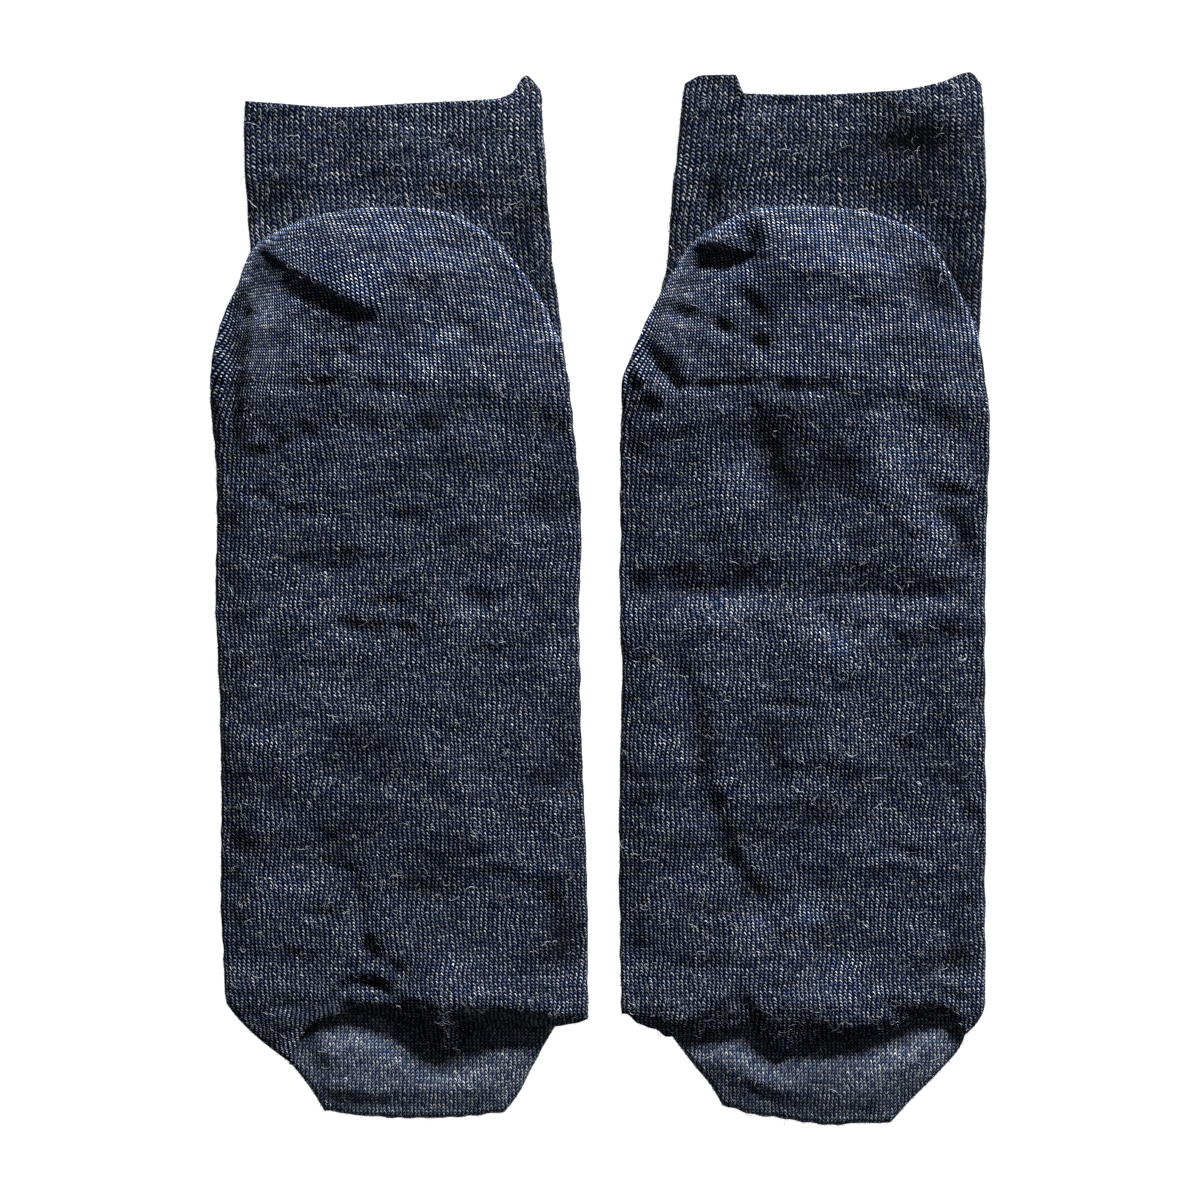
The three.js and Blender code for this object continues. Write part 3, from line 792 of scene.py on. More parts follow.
def across_shares(width, reach, cells):
    """Where a layer has its points from left to right, closer together at its edges."""
    edge = min(LARGEST_EDGE, reach / width)
    turn = np.linspace(0, math.pi / 2, ROLL_CELLS + 1)
    left = edge * (1 - np.cos(turn))
    middle = np.linspace(edge, 1 - edge, cells - 2 * ROLL_CELLS + 1)[1:-1]
    return np.concatenate([left, middle, 1 - left[::-1]])


def around_edge(distance):
    """Length along the cloth from a rolled edge to a place, given its distance in plan."""
    turned = np.arccos(1 - np.clip(distance / ROLL, 0, 1)) * ROLL
    return turned + np.maximum(distance - ROLL, 0)


def wale_across(x, left, right):
    """The column of stitches at a place across a tube, from 0 at its left edge."""
    half = (right - left) / 2
    whole = around_edge(half)
    from_left = around_edge(np.clip(x - left, 0, half))
    from_right = around_edge(np.clip(right - x, 0, half))
    place = np.where(x - left < half, from_left, 2 * whole - from_right)
    return HALF_WALES * place / (2 * whole)


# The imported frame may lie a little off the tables' own zero along Y.
ALONG_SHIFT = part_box("left_toe")[1][1] - (TOE_SEAM_Y - SEAM_GAP / 2) * MM


# ---- Walls of knit ----
Row = namedtuple("Row", "points knit")


class Wall:
    """One piece of cloth: its points outside and inside, and the faces between them."""

    def __init__(self):
        self.outer, self.inner, self.shades = [], [], []
        self.faces, self.knit = [], []
        self.count = 0

    def add(self, outer, inner, knit, shade):
        """Adds one row of points, with the columns and courses of stitches there."""
        self.outer.append(outer)
        self.inner.append(inner)
        self.shades.append(shade)
        first = self.count
        self.count += len(outer)
        return Row(range(first, self.count), knit.tolist())

    def face(self, points, knit):
        kept = [i for i in range(len(points)) if points[i] != points[i - 1]]
        self.faces.append([points[i] for i in kept])
        self.knit.append([knit[i] for i in kept])

    def join(self, near, far, cells):
        """Joins two rows of points, the second further along the cloth."""
        for i in range(cells):
            after = (i + 1) % len(near.points)
            points = near.points[i], near.points[after], far.points[after], far.points[i]
            self.face(points, (near.knit[i], near.knit[i + 1], far.knit[i + 1], far.knit[i]))

    def join_all(self, rows, cells):
        for near, far in zip(rows, rows[1:]):
            self.join(near, far, cells)

    def close_end(self, row, cells, faces_forward):
        """Closes the end of a pocket by joining its upper layer to its lower one."""
        for i in range(cells):
            below, below_next = (2 * cells - i) % (2 * cells), 2 * cells - i - 1
            order = (i, i + 1, below_next, below)
            if not faces_forward:
                order = (i + 1, i, below, below_next)
            self.face([row.points[k] for k in order], [row.knit[k] for k in order])

    def rims(self):
        """Faces between the outer and the inner surface along every free edge."""
        sides = {}
        for points, knit in zip(self.faces, self.knit):
            for i, point in enumerate(points):
                sides[points[i - 1], point] = (knit[i - 1], knit[i])
        for (a, b), (knit_a, knit_b) in sides.items():
            if (b, a) not in sides:
                yield [b, a, a + self.count, b + self.count], [knit_b, knit_a, knit_a, knit_b]

    def make_object(self, name):
        rims = list(self.rims())
        inside = [[i + self.count for i in reversed(points)] for points in self.faces]
        faces = self.faces + inside + [points for points, _ in rims]
        knit = self.knit + [list(reversed(k)) for k in self.knit] + [k for _, k in rims]
        places = np.concatenate(self.outer + self.inner) * MM
        places[:, 1] += ALONG_SHIFT
        mesh = bpy.data.meshes.new(name)
        mesh.from_pydata(places.tolist(), [], faces)
        uv_map = mesh.uv_layers.new(name="knit")
        uv_map.data.foreach_set("uv", np.concatenate([np.ravel(k) for k in knit]))
        shade = mesh.attributes.new("shade", "FLOAT", "POINT")
        shade.data.foreach_set("value", np.tile(np.concatenate(self.shades), 2))
        mesh.polygons.foreach_set("use_smooth", [True] * len(faces))
        mesh.update()
        piece = bpy.data.objects.new(name, mesh)
        bpy.context.scene.collection.objects.link(piece)
        return piece


def layers(plan, distance, inwards, floor, top, level, carried):
    """Outer and inner points of one ring round a flattened tube.

    The upper layer runs from left to right, then the lower one back. level is the height of the
    rolled edges, and carried how far folds carry the upper layer sideways.
    """
    turn = rounding(distance, ROLL)
    inset = plan + (WALL * np.sqrt(1 - turn**2))[:, None] * inwards
    upper = level + (top - level) * turn
    lower = level - (level - floor) * turn
    upper_inside = np.maximum(upper - WALL * turn, lower + WALL * turn + LEAST_AIR * turn)
    back = slice(-2, 0, -1)
    outer = [np.column_stack([plan + carried, upper]), np.column_stack([plan, lower])[back]]
    inner = [
        np.column_stack([inset + carried, upper_inside]),
        np.column_stack([inset, lower + WALL * turn])[back],
    ]
    return np.concatenate(outer), np.concatenate(inner)


def ring_knit(wales, courses, turns_round):
    """The columns and courses of a ring's points, with its first point once more at the end.

    turns_round is the number of columns round the tube, or 0 where the lower layer mirrors
    the upper one.
    """
    back = slice(-2, None, -1)
    lower_wales = turns_round - wales if turns_round else wales
    return np.column_stack(
        [np.concatenate([wales, lower_wales[back]]), np.concatenate([courses, courses[back]])]
    )


def ring_shade(sock, x, y, yarn=0.0):
    """How much lighter the yarn is painted round a ring. Patches, mostly painted light and shade,
    show on its upper layer alone.
    """
    yarn = np.broadcast_to(yarn, len(x))
    return np.concatenate([shade_at(sock, x, y) + yarn, yarn[-2:0:-1]])


# ---- The sole: the foot's upper layer, from the ledge to the heel's crown ----
def heel_edges(sock, y):
    heel = sock.heel
    share = np.clip((y - ANKLE_Y) / heel.height, 0, 1)
    dome = (1 - share**heel.flank) ** heel.crown
    shoulder = heel.shoulder * np.exp(-(((share - SHOULDER_AT) / SHOULDER_SPREAD) ** 2))
    half = heel.half_width * (dome + shoulder)
    middle = heel.middle + curve(heel.drift, share)
    return middle - half, middle + half


def sole_edges(sock, y):
    """The sole's left and right edge, with the small unevenness of the knit."""
    tube = edges(sock.foot, y)
    heel = heel_edges(sock, y)
    left, right = (np.where(y < ANKLE_Y, a, b) for a, b in zip(tube, heel))
    return left + wobble(sock.seed, y), right + wobble(sock.seed + 1, y)


def lip_line(sock):
    """The sole's end line from its left to its right corner, as a dense outline."""
    points = np.array(sock.ledge)
    along = np.concatenate([[0], np.cumsum(np.hypot(*np.diff(points, axis=0).T))])
    dense = np.linspace(0, along[-1], LIP_STEPS)
    x, y = (curve(np.column_stack([along, column]), dense) for column in points.T)
    uneven = wobble(sock.seed + 2, dense, LIP_WOBBLE)
    return np.column_stack([x, y + uneven])


def seam_corners(sock):
    left, right = sole_edges(sock, np.array([TOE_SEAM_Y]))
    return left[0], right[0]


def flap_edge(start, end, shoulder):
    """The edge of the sole from its corner at the toe seam to an end of the lip."""
    share = np.linspace(0, 1, FLAP_STEPS)
    edge = mix(np.array(start)[None], np.array(end)[None], share[:, None])
    edge[:, 0] += 4 * share * (1 - share) * shoulder
    return edge


def sole_outline(sock, lip):
    """The sole's outline, clockwise from the lip's left corner round the heel to its right one."""
    left_corner, right_corner = seam_corners(sock)
    crown_y = ANKLE_Y + sock.heel.height
    to_crown = crown_y - sock.heel.height * np.linspace(1, 0, CROWN_STEPS) ** 2
    y = np.concatenate([np.linspace(TOE_SEAM_Y, ANKLE_Y, SIDE_STEPS)[:-1], to_crown])
    left, right = sole_edges(sock, y)
    left_flap = flap_edge((left_corner, TOE_SEAM_Y), lip[0], sock.ledge_shoulder[0])
    right_flap = flap_edge((right_corner, TOE_SEAM_Y), lip[-1], sock.ledge_shoulder[1])
    sides = [np.column_stack([left, y]), np.column_stack([right, y])[::-1]]
    return np.concatenate([left_flap[:0:-1], sides[0], sides[1], right_flap[1:]])


def sole_lift(sock, x, y, distance):
    """How far the upper layer stands above where it would lie, and how far folds carry it."""
    height, carried = fold_field(sock.folds, x, y)
    small = height + crumple_field(sock, x, y) + dented(sock, x, y)
    fade = ease(distance / FOLD_FADE)
    lift = curve(PLUMPNESS, y) * ease(distance / curve(EDGE_FADES, y)) + small * fade
    return np.maximum(lift, DEEPEST_TROUGH), carried * fade[:, None]


def sole_wales(sock, x, y):
    """The column of stitches at places of the sole. The columns draw together towards the crown."""
    left, right = edges(sock.foot, np.clip(y, TOE_SEAM_Y, ANKLE_Y))
    wales = wale_across(np.clip(x, left, right), left, right)
    heel = sock.heel
    share = np.clip((y - ANKLE_Y) / heel.height, 0, 1)
    width = wale_width(sock)
    drawn = HALF_WALES / 2 + (x - heel.middle) / (width * (1 - HEEL_NARROWING * share))
    wales = mix(wales, drawn, ease(share / NARROWING_BLEND))
    for lean in sock.leans:
        (middle, start), (reach, rise) = lean.centre, lean.reach
        carried = lean.slope * rise * (1 + np.tanh((y - start) / rise))
        wales = wales + carried * np.exp(-(((x - middle) / reach) ** 2)) / width
    return wales


def wale_width(sock):
    _, left, right = sock.foot[-1]
    return 2 * around_edge((right - left) / 2) / HALF_WALES


def sole_courses(sock, x, y):
    """The course of stitches at places of the sole. In the heel the courses hang in arcs."""
    heel = sock.heel
    radius = HEEL_COURSE_RADIUS
    share = np.clip((y - ANKLE_Y) / heel.height, 0, 1)
    hang = ease(2 * share) * (x - heel.middle) ** 2 / (2 * radius)
    crowded = CROWN_CROWDING * np.clip(share - CROWDING_START, 0, 1) ** 2 * heel.height
    return (y + hang + crowded) / FOOT_COURSE


def lip_shape(sock, lip, plan, upper, turn):
    """Brings the upper layer down to the lip. Gives its heights, inset and outer turn there."""
    distance, inwards = edge_distance(lip[::-1], *plan.T)
    table = np.array(sock.lip)
    swelling = curve(table[:, :2], plan[:, 0])
    reach = curve(table[:, [0, 2]], plan[:, 0])
    swelling = swelling * np.exp(-((np.maximum(distance - reach, 0) / LIP_SWELL) ** 2))
    nose = mix(np.minimum(upper, LIP_NOSE), LIP_NOSE, turn)
    lip_turn = rounding(distance, LIP_ROLL)
    rolled = nose + LIP_ROLL_HEIGHT * lip_turn * turn
    height = mix(rolled, upper + swelling * turn, ease(distance / reach))
    inset = (LIP_WALL * np.sqrt(1 - lip_turn**2))[:, None] * inwards
    return height, inset, lip_turn


def sole_row(sock, wall, lip, outline, y):
    """One ring of the foot tube below the ankle, or of the heel pocket above it."""
    in_heel = y >= ANKLE_Y
    left, right = (edge[0] for edge in sole_edges(sock, np.array([y])))
    near, far = (edge[0] for edge in sole_edges(sock, np.array([y - SLOPE_STEP])))
    slope = max(abs(near - left), abs(far - right)) / SLOPE_STEP
    x = mix(left, right, across_shares(right - left, ROLL * math.hypot(1, slope), SOLE_CELLS))
    plan = np.column_stack([x, np.full_like(x, y)])
    distance, inwards = edge_distance(outline, *plan.T)
    distance[[0, -1]] = 0
    floor = HEEL_FLOOR if in_heel else creases_below(sock, x, plan[:, 1], distance)
    lift, carried = sole_lift(sock, x, plan[:, 1], distance)
    top = curve(SOLE_TOP, y) + lift
    outer, inner = layers(plan, distance, inwards, floor, top, curve(SOLE_EDGE, y), carried)
    if y - TOE_SEAM_Y < LIP_SEARCH:
        upper = slice(0, SOLE_CELLS + 1)
        thickness = outer[upper, 2] - inner[upper, 2]
        turn = rounding(distance, ROLL)
        height, inset, lip_turn = lip_shape(sock, lip, plan, outer[upper, 2], turn)
        outer[upper, 2] = height
        inner[upper, 2] = height - thickness * lip_turn
        inner[upper, :2] += inset
    wales = sole_wales(sock, x, plan[:, 1])
    if not in_heel:
        wales[[0, -1]] = 0, HALF_WALES
    turns_round = 0 if in_heel else 2 * HALF_WALES
    knit = ring_knit(wales, sole_courses(sock, x, plan[:, 1]), turns_round)
    # a painted highlight along the heel pocket's edge, added to its lighter yarn
    rim_highlight = HEEL_RIM_HIGHLIGHT * np.exp(-((distance / HEEL_RIM_HIGHLIGHT_REACH) ** 2))
    rim_highlight *= ease((y - HEEL_RIM_HIGHLIGHT_START) / HEEL_RIM_HIGHLIGHT_BLEND)
    yarn = HEEL_YARN * ease((y - ANKLE_Y) / HEEL_YARN_BLEND + 0.5) + rim_highlight
    return wall.add(outer, inner, knit, ring_shade(sock, x, plan[:, 1], yarn))


def make_foot(sock):
    """The foot tube, the heel pocket that its upper layer runs into, and the ledge at its end."""
    wall = Wall()
    lip = lip_line(sock)
    outline = sole_outline(sock, lip)
    along = np.linspace(TOE_SEAM_Y + SEAM_GAP / 2, ANKLE_Y - SEAM_GAP / 2, TUBE_ROWS)
    tube = [sole_row(sock, wall, lip, outline, y) for y in along]
    crown_y = ANKLE_Y + sock.heel.height
    evenly = np.linspace(ANKLE_Y + HEEL_START, crown_y - CROWN_ROWS[0], HEEL_ROWS)
    to_crown = [crown_y - before for before in CROWN_ROWS[1:]]
    heel = [sole_row(sock, wall, lip, outline, y) for y in [*evenly, *to_crown]]
    ledge = ledge_rows(sock, wall, lip, outline)
    wall.join_all(tube, 2 * SOLE_CELLS)
    wall.join(tube[-1], heel[0], SOLE_CELLS)
    wall.join_all(heel, 2 * SOLE_CELLS)
    wall.close_end(heel[-1], SOLE_CELLS, True)
    wall.join_all(ledge + tube[:1], SOLE_CELLS)
    return wall.make_object(f"{sock.name}_foot_knit")


def ledge_rows(sock, wall, lip, outline):
    """The sole's rows past the toe seam, from the lip's underside back to the seam."""
    seam_row = wall.outer[0][: SOLE_CELLS + 1]
    left_corner, right_corner = seam_row[0, 0], seam_row[-1, 0]
    across = (seam_row[:, 0] - left_corner) / (right_corner - left_corner)
    along = np.concatenate([[0], np.cumsum(np.hypot(*np.diff(lip, axis=0).T))])
    ends = np.column_stack([np.interp(across * along[-1], along, column) for column in lip.T])
    bulge = sock.ledge_shoulder[0] * (1 - across) ** 4 + sock.ledge_shoulder[1] * across**4
    seam_top = curve(SOLE_TOP, TOE_SEAM_Y)

    rows = []
    courses = sole_courses(sock, seam_row[:, 0], seam_row[:, 1])
    before = seam_row
    for share in np.sin(np.linspace(0, math.pi / 2, LEDGE_ROWS + 1)[1:]):
        plan = mix(seam_row[:, :2], ends, share)
        plan[:, 0] += 4 * share * (1 - share) * bulge
        distance, inwards = edge_distance(outline, *plan.T)
        distance[[0, -1]] = 0
        turn = rounding(distance, ROLL)
        lift, _ = sole_lift(sock, *plan.T, distance)
        level = mix(curve(SOLE_EDGE, TOE_SEAM_Y), FLAP_EDGE, min(1, 3 * share))
        upper = level + (seam_top + lift - level) * turn
        height, inset, lip_turn = lip_shape(sock, lip, plan, upper, turn)
        if share == 1:
            lip_turn[:] = 0
        inset += (LIP_WALL * np.sqrt(1 - turn**2))[:, None] * inwards
        outer = np.column_stack([plan, height])
        inner = np.column_stack([plan + inset, height - LIP_WALL * turn * lip_turn])
        courses = courses - np.linalg.norm(outer - before, axis=1) / FOOT_COURSE
        wales = sole_wales(sock, *plan.T)
        rows.append((outer, inner, wales, courses))
        before = outer

    nose, _, wales, _ = rows[-1]
    _, inwards = edge_distance(lip[::-1], *nose[:, :2].T)
    for turned in np.radians(LIP_TURNS):
        under = nose.copy()
        under[:, :2] += LIP_TUCK * (1 - math.cos(turned)) * inwards
        under[:, 2] = nose[:, 2] - (nose[:, 2] - LIP_UNDERSIDE) * math.sin(turned)
        inner = under.copy()
        inner[:, :2] += LIP_WALL * math.cos(turned) * inwards
        inner[:, 2] += LIP_WALL * math.sin(turned) * turn
        courses = courses - np.linalg.norm(under - before, axis=1) / FOOT_COURSE
        rows.append((under, inner, wales, courses))
        before = under

    made = []
    for outer, inner, wales, courses in rows:
        knit = np.column_stack([wales, courses])
        made.append(wall.add(outer, inner, knit, np.zeros(len(outer))))
    return made[::-1]


# ---- The leg ----
def past_heel(heel, x, y):
    """How far places lie outside the heel pocket's outline, and 0 within it."""
    distance, _ = edge_distance(heel, x, y)
    within = (y < np.interp(x, *heel.T)) & (x > heel[0, 0]) & (x < heel[-1, 0])
    return np.where(within, 0, distance)


def heel_outline(sock):
    """The heel pocket's outline, clockwise from its left end over the crown to its right one."""
    share = 1 - np.linspace(1, 0, HEEL_STEPS) ** 2
    y = ANKLE_Y + sock.heel.height * share
    left, right = heel_edges(sock, y)
    return np.concatenate([np.column_stack([left, y]), np.column_stack([right, y])[-2::-1]])


def leg_row(sock, wall, heel, base_y):
    """One ring of the leg. base_y is its place before it follows the mouth's uneven rise."""
    left, right = (edge[0] for edge in edges(sock.leg, np.array([base_y])))
    left += wobble(sock.seed + 3, base_y)
    right += wobble(sock.seed + 4, base_y)
    share = across_shares(right - left, ROLL, LEG_CELLS)
    x = mix(left, right, share)
    rise = curve(sock.mouth, share) * ease((base_y - MOUTH_START) / (MOUTH_Y - MOUTH_START))
    y = base_y + rise
    distance = np.minimum(x - left, right - x)
    inwards = np.column_stack([np.where(share < 0.5, 1.0, -1.0), np.zeros_like(x)])
    past = past_heel(heel, x, y)
    free = ease(distance / EDGE_FADE) * ease((past - CROWN_CLEARANCE) / CONTACT_FADE)
    folds, _ = fold_field(sock.leg_folds, x, y)
    small = folds + CUFF_AND_TOE_DENTS * dented(sock, x, y) * ease(distance / FOLD_FADE)
    lift = CUFF_PLUMPNESS * free + np.where(small > 0, small * free, small)
    top = FLAT_TOP + np.maximum(lift, DEEPEST_TROUGH)
    plan = np.column_stack([x, y])
    floor, still = creases_below(sock, x, y, distance), np.zeros((len(x), 2))
    outer, inner = layers(plan, distance, inwards, floor, top, FLAT_TOP / 2, still)
    worn = MOUTH_ROUNDING * (1 - min(1, MOUTH_Y - base_y)) ** 2 * ease(distance / ROLL)
    set_back = LOWER_SET_BACK * np.sin(math.pi * share)
    set_back *= ease(1 - (MOUTH_Y - base_y) / SET_BACK_REACH)
    for points, thinner in ((outer, worn), (inner, -worn)):
        points[: LEG_CELLS + 1, 2] -= thinner
        points[LEG_CELLS + 1 :, 2] += thinner[-2:0:-1]
        points[LEG_CELLS + 1 :, 1] -= set_back[-2:0:-1]
    knit = ring_knit(wale_across(x, left, right), y / CUFF_COURSE, 2 * HALF_WALES)
    return wall.add(outer, inner, knit, ring_shade(sock, x, y))


def make_leg(sock):
    wall = Wall()
    heel = heel_outline(sock)
    evenly = np.linspace(ANKLE_Y + SEAM_GAP / 2, MOUTH_Y - 1, LEG_ROWS)
    rows = [leg_row(sock, wall, heel, base_y) for base_y in [*evenly, *MOUTH_ROWS]]
    wall.join_all(rows, 2 * LEG_CELLS)
    return wall.make_object(f"{sock.name}_leg_knit")


# ---- The toe cap ----
def toe_section(sock, share):
    """Ends and bow of the toe cap's section at a share of its length from the tip."""
    middles = np.array([(left[1] + right[1]) / 2 for left, right, _ in sock.toe])
    places = (middles - middles[0]) / (middles[-1] - middles[0])
    columns = [(*left, *right, bow) for left, right, bow in sock.toe]
    return [curve(np.column_stack([places, column]), share) for column in np.array(columns).T]


def toe_points(sock, share, across):
    left_x, left_y, right_x, right_y, bow = toe_section(sock, share)
    y = mix(left_y, right_y, across) + bow * 4 * across * (1 - across)
    return np.column_stack([mix(left_x, right_x, across), y])


def toe_outline(sock):
    """The toe cap's outline, clockwise from its right end round the tip to its left one."""
    down = np.linspace(1, 0, TOE_STEPS)
    right_side = np.concatenate([toe_points(sock, share, np.array([1.0])) for share in down])
    left_side = np.concatenate([toe_points(sock, share, np.array([0.0])) for share in down[::-1]])
    tip = toe_points(sock, 0.0, np.linspace(1, 0, TOE_STEPS))
    tip[:, 1] += wobble(sock.seed + 5, tip[:, 0], TIP_WOBBLE)
    return np.concatenate([right_side[:-1], tip, left_side[1:]])


def toe_row(sock, wall, lip, outline, from_tip, length):
    """One ring of the toe cap, at a distance from its tip."""
    share = from_tip / length
    left_x, _, right_x, _, _ = toe_section(sock, share)
    across = across_shares(right_x - left_x, TOE_EDGE * ROLL, TOE_CELLS)
    plan = toe_points(sock, share, across)
    near_tip = 1 - min(1, from_tip / TIP_WOBBLE_REACH)
    plan[:, 1] += wobble(sock.seed + 5, plan[:, 0], TIP_WOBBLE) * near_tip
    if from_tip == length:
        plan[:, 1] -= SEAM_GAP / 2
    distance, inwards = edge_distance(outline, *plan.T)
    distance[[0, -1]] = 0
    past, _ = edge_distance(lip[::-1], *plan.T)
    past = np.where(plan[:, 1] < np.interp(plan[:, 0], *lip.T), past, 0)
    free = ease(distance / EDGE_FADE) * ease((past - LEDGE_CLEARANCE) / CONTACT_FADE)
    folds, _ = fold_field(sock.toe_folds, *plan.T)
    small = folds + crumple_field(sock, *plan.T) * TOE_CRUMPLES
    small = small + CUFF_AND_TOE_DENTS * dented(sock, *plan.T)
    fade = ease(distance / FOLD_FADE) * ease(past / LEDGE_CLEARANCE)
    top = FLAT_TOP + np.maximum(TOE_PLUMPNESS * free + small * fade, DEEPEST_TROUGH)
    floor, still = creases_below(sock, *plan.T, distance), np.zeros((len(plan), 2))
    outer, inner = layers(plan, distance, inwards, floor, top, FLAT_TOP / 2, still)
    centre = (sock.toe[0][0][0] + sock.toe[0][1][0]) / 2
    knit = ring_knit((plan[:, 0] - centre) / TOE_WALE, plan[:, 1] / TOE_COURSE, 0)
    return wall.add(outer, inner, knit, ring_shade(sock, *plan.T))


def make_toe(sock):
    wall = Wall()
    lip, outline = lip_line(sock), toe_outline(sock)
    (tip_left, tip_right, _), (seam_left, seam_right, _) = sock.toe[0], sock.toe[-1]
    length = (seam_left[1] + seam_right[1] - tip_left[1] - tip_right[1]) / 2
    evenly = np.linspace(TIP_ROWS[-1] + 1, length, TOE_ROWS)
    places = [*TIP_ROWS, *evenly]
    rows = [toe_row(sock, wall, lip, outline, from_tip, length) for from_tip in places]
    wall.close_end(rows[0], TOE_CELLS, False)
    wall.join_all(rows, 2 * TOE_CELLS)
    return wall.make_object(f"{sock.name}_toe_knit")


# ---- Stray fibres ----
# A kind of hair: the points along it, its least and greatest length, how steeply it stands at its
# root, how much it curls, and its material, 0 for the stray wool and 1 for the darker edge wool.
Hair = namedtuple("Hair", "points lengths standing curl material")
FACE_HAIR = Hair(6, (1.2, 4.2), 0.12, 0.55, 0)
LIP_HAIR = Hair(7, (1.5, 3.4), 0.25, 0.55, 1)
EDGE_HAIR = Hair(3, (0.35, 0.9), 0.7, 0.3, 1)

# On faces, above the lip and at edges: of the leg, the foot and the toe.
FIBRES_PER_PIECE = [(560, 0, 1500), (2250, 200, 2600), (200, 0, 900)]
FIBRE_THICKNESS = (0.08, 0.14)
FIBRE_TAPER = 0.5  # the tip's share of that
FIBRE_ROOT = 0.15  # how deep its root is set
FIBRE_TILT = 0.3  # leans its section, so that a hair that stands straight up has one too
FIBRE_ARCH = (0.1, 2.2)  # radians, from a hair's rise at its root to its fall at its tip
STEADY_CURL = 1.3  # how much a hair keeps turning one way, against its random turns
LOWEST_FIBRE = 0.05  # above the floor
CLEAR_OF_FLOOR = 0.3  # from which height edges have hairs
EDGE_STEEPNESS = 0.75  # a face whose normal points less up or down than this is at an edge
TOP_STEEPNESS = 0.3  # one that points more up than this is on top
LIP_STEEPNESS = -0.1  # the same above the lip, whose front is nearly upright


def surface_places(piece, count, random, wanted):
    """Places and normals on a piece's faces, picked by area where wanted says so."""
    mesh = piece.data
    faces = len(mesh.polygons)
    centres, normals, areas = np.empty(3 * faces), np.empty(3 * faces), np.empty(faces)
    mesh.polygons.foreach_get("center", centres)
    mesh.polygons.foreach_get("normal", normals)
    mesh.polygons.foreach_get("area", areas)
    centres, normals = centres.reshape(-1, 3), normals.reshape(-1, 3)
    chance = areas * wanted(centres / MM, normals)
    picked = random.choice(faces, count, p=chance / chance.sum())
    return centres[picked] / MM, normals[picked]


def curled_fibres(places, normals, hair, random):
    """Curled hairs: the points along each one, and the triangle of points round each of those."""
    count, points, curl = len(places), hair.points, hair.curl
    lengths = random.uniform(*hair.lengths, count)
    thickness = random.uniform(*FIBRE_THICKNESS, count)
    towards = random.normal(size=(count, 3))
    flat = np.cross(normals, towards)
    flat /= np.linalg.norm(flat, axis=1)[:, None]
    side = np.cross(normals, flat)
    heading = np.cumsum(random.normal(0, 1, (count, points)) * curl, axis=1)
    heading += random.normal(0, STEADY_CURL * curl, (count, 1)) * np.arange(points)
    step = (lengths / (points - 1))[:, None, None]
    along = np.cos(heading)[:, :, None] * flat[:, None]
    along = along + np.sin(heading)[:, :, None] * side[:, None]
    falling = np.cos(np.linspace(*FIBRE_ARCH, points))[None, :, None]
    rise = hair.standing * falling * normals[:, None]
    along = along * math.sqrt(1 - hair.standing**2) + rise
    path = places[:, None] + np.cumsum(along * step, axis=1) - normals[:, None] * FIBRE_ROOT
    across = np.cross(along, normals[:, None] + FIBRE_TILT * side[:, None])
    across /= np.linalg.norm(across, axis=2)[:, :, None]
    up = np.cross(across, along)
    up /= np.linalg.norm(up, axis=2)[:, :, None]
    radius = (thickness / 2)[:, None, None] * np.linspace(1, FIBRE_TAPER, points)[None, :, None]
    turns = [math.radians(90 + 120 * k) for k in range(3)]
    corners = [path + radius * (math.cos(a) * across + math.sin(a) * up) for a in turns]
    return np.stack(corners, axis=2)


def fibre_faces(count, points):
    """The faces of hairs of three sides, closed at both ends."""
    first = np.arange(count)[:, None, None, None] * points * 3
    ring = np.arange(points - 1)[None, :, None, None] * 3
    side = np.arange(3)
    quad = np.stack([side, (side + 1) % 3, (side + 1) % 3 + 3, side + 3], 1)
    quads = (first + ring + quad[None, None]).reshape(-1, 4)
    roots = first[:, 0, 0] + np.array([2, 1, 0])
    tips = first[:, 0, 0] + (points - 1) * 3 + np.array([0, 1, 2])
    return quads.tolist() + roots.tolist() + tips.tolist()


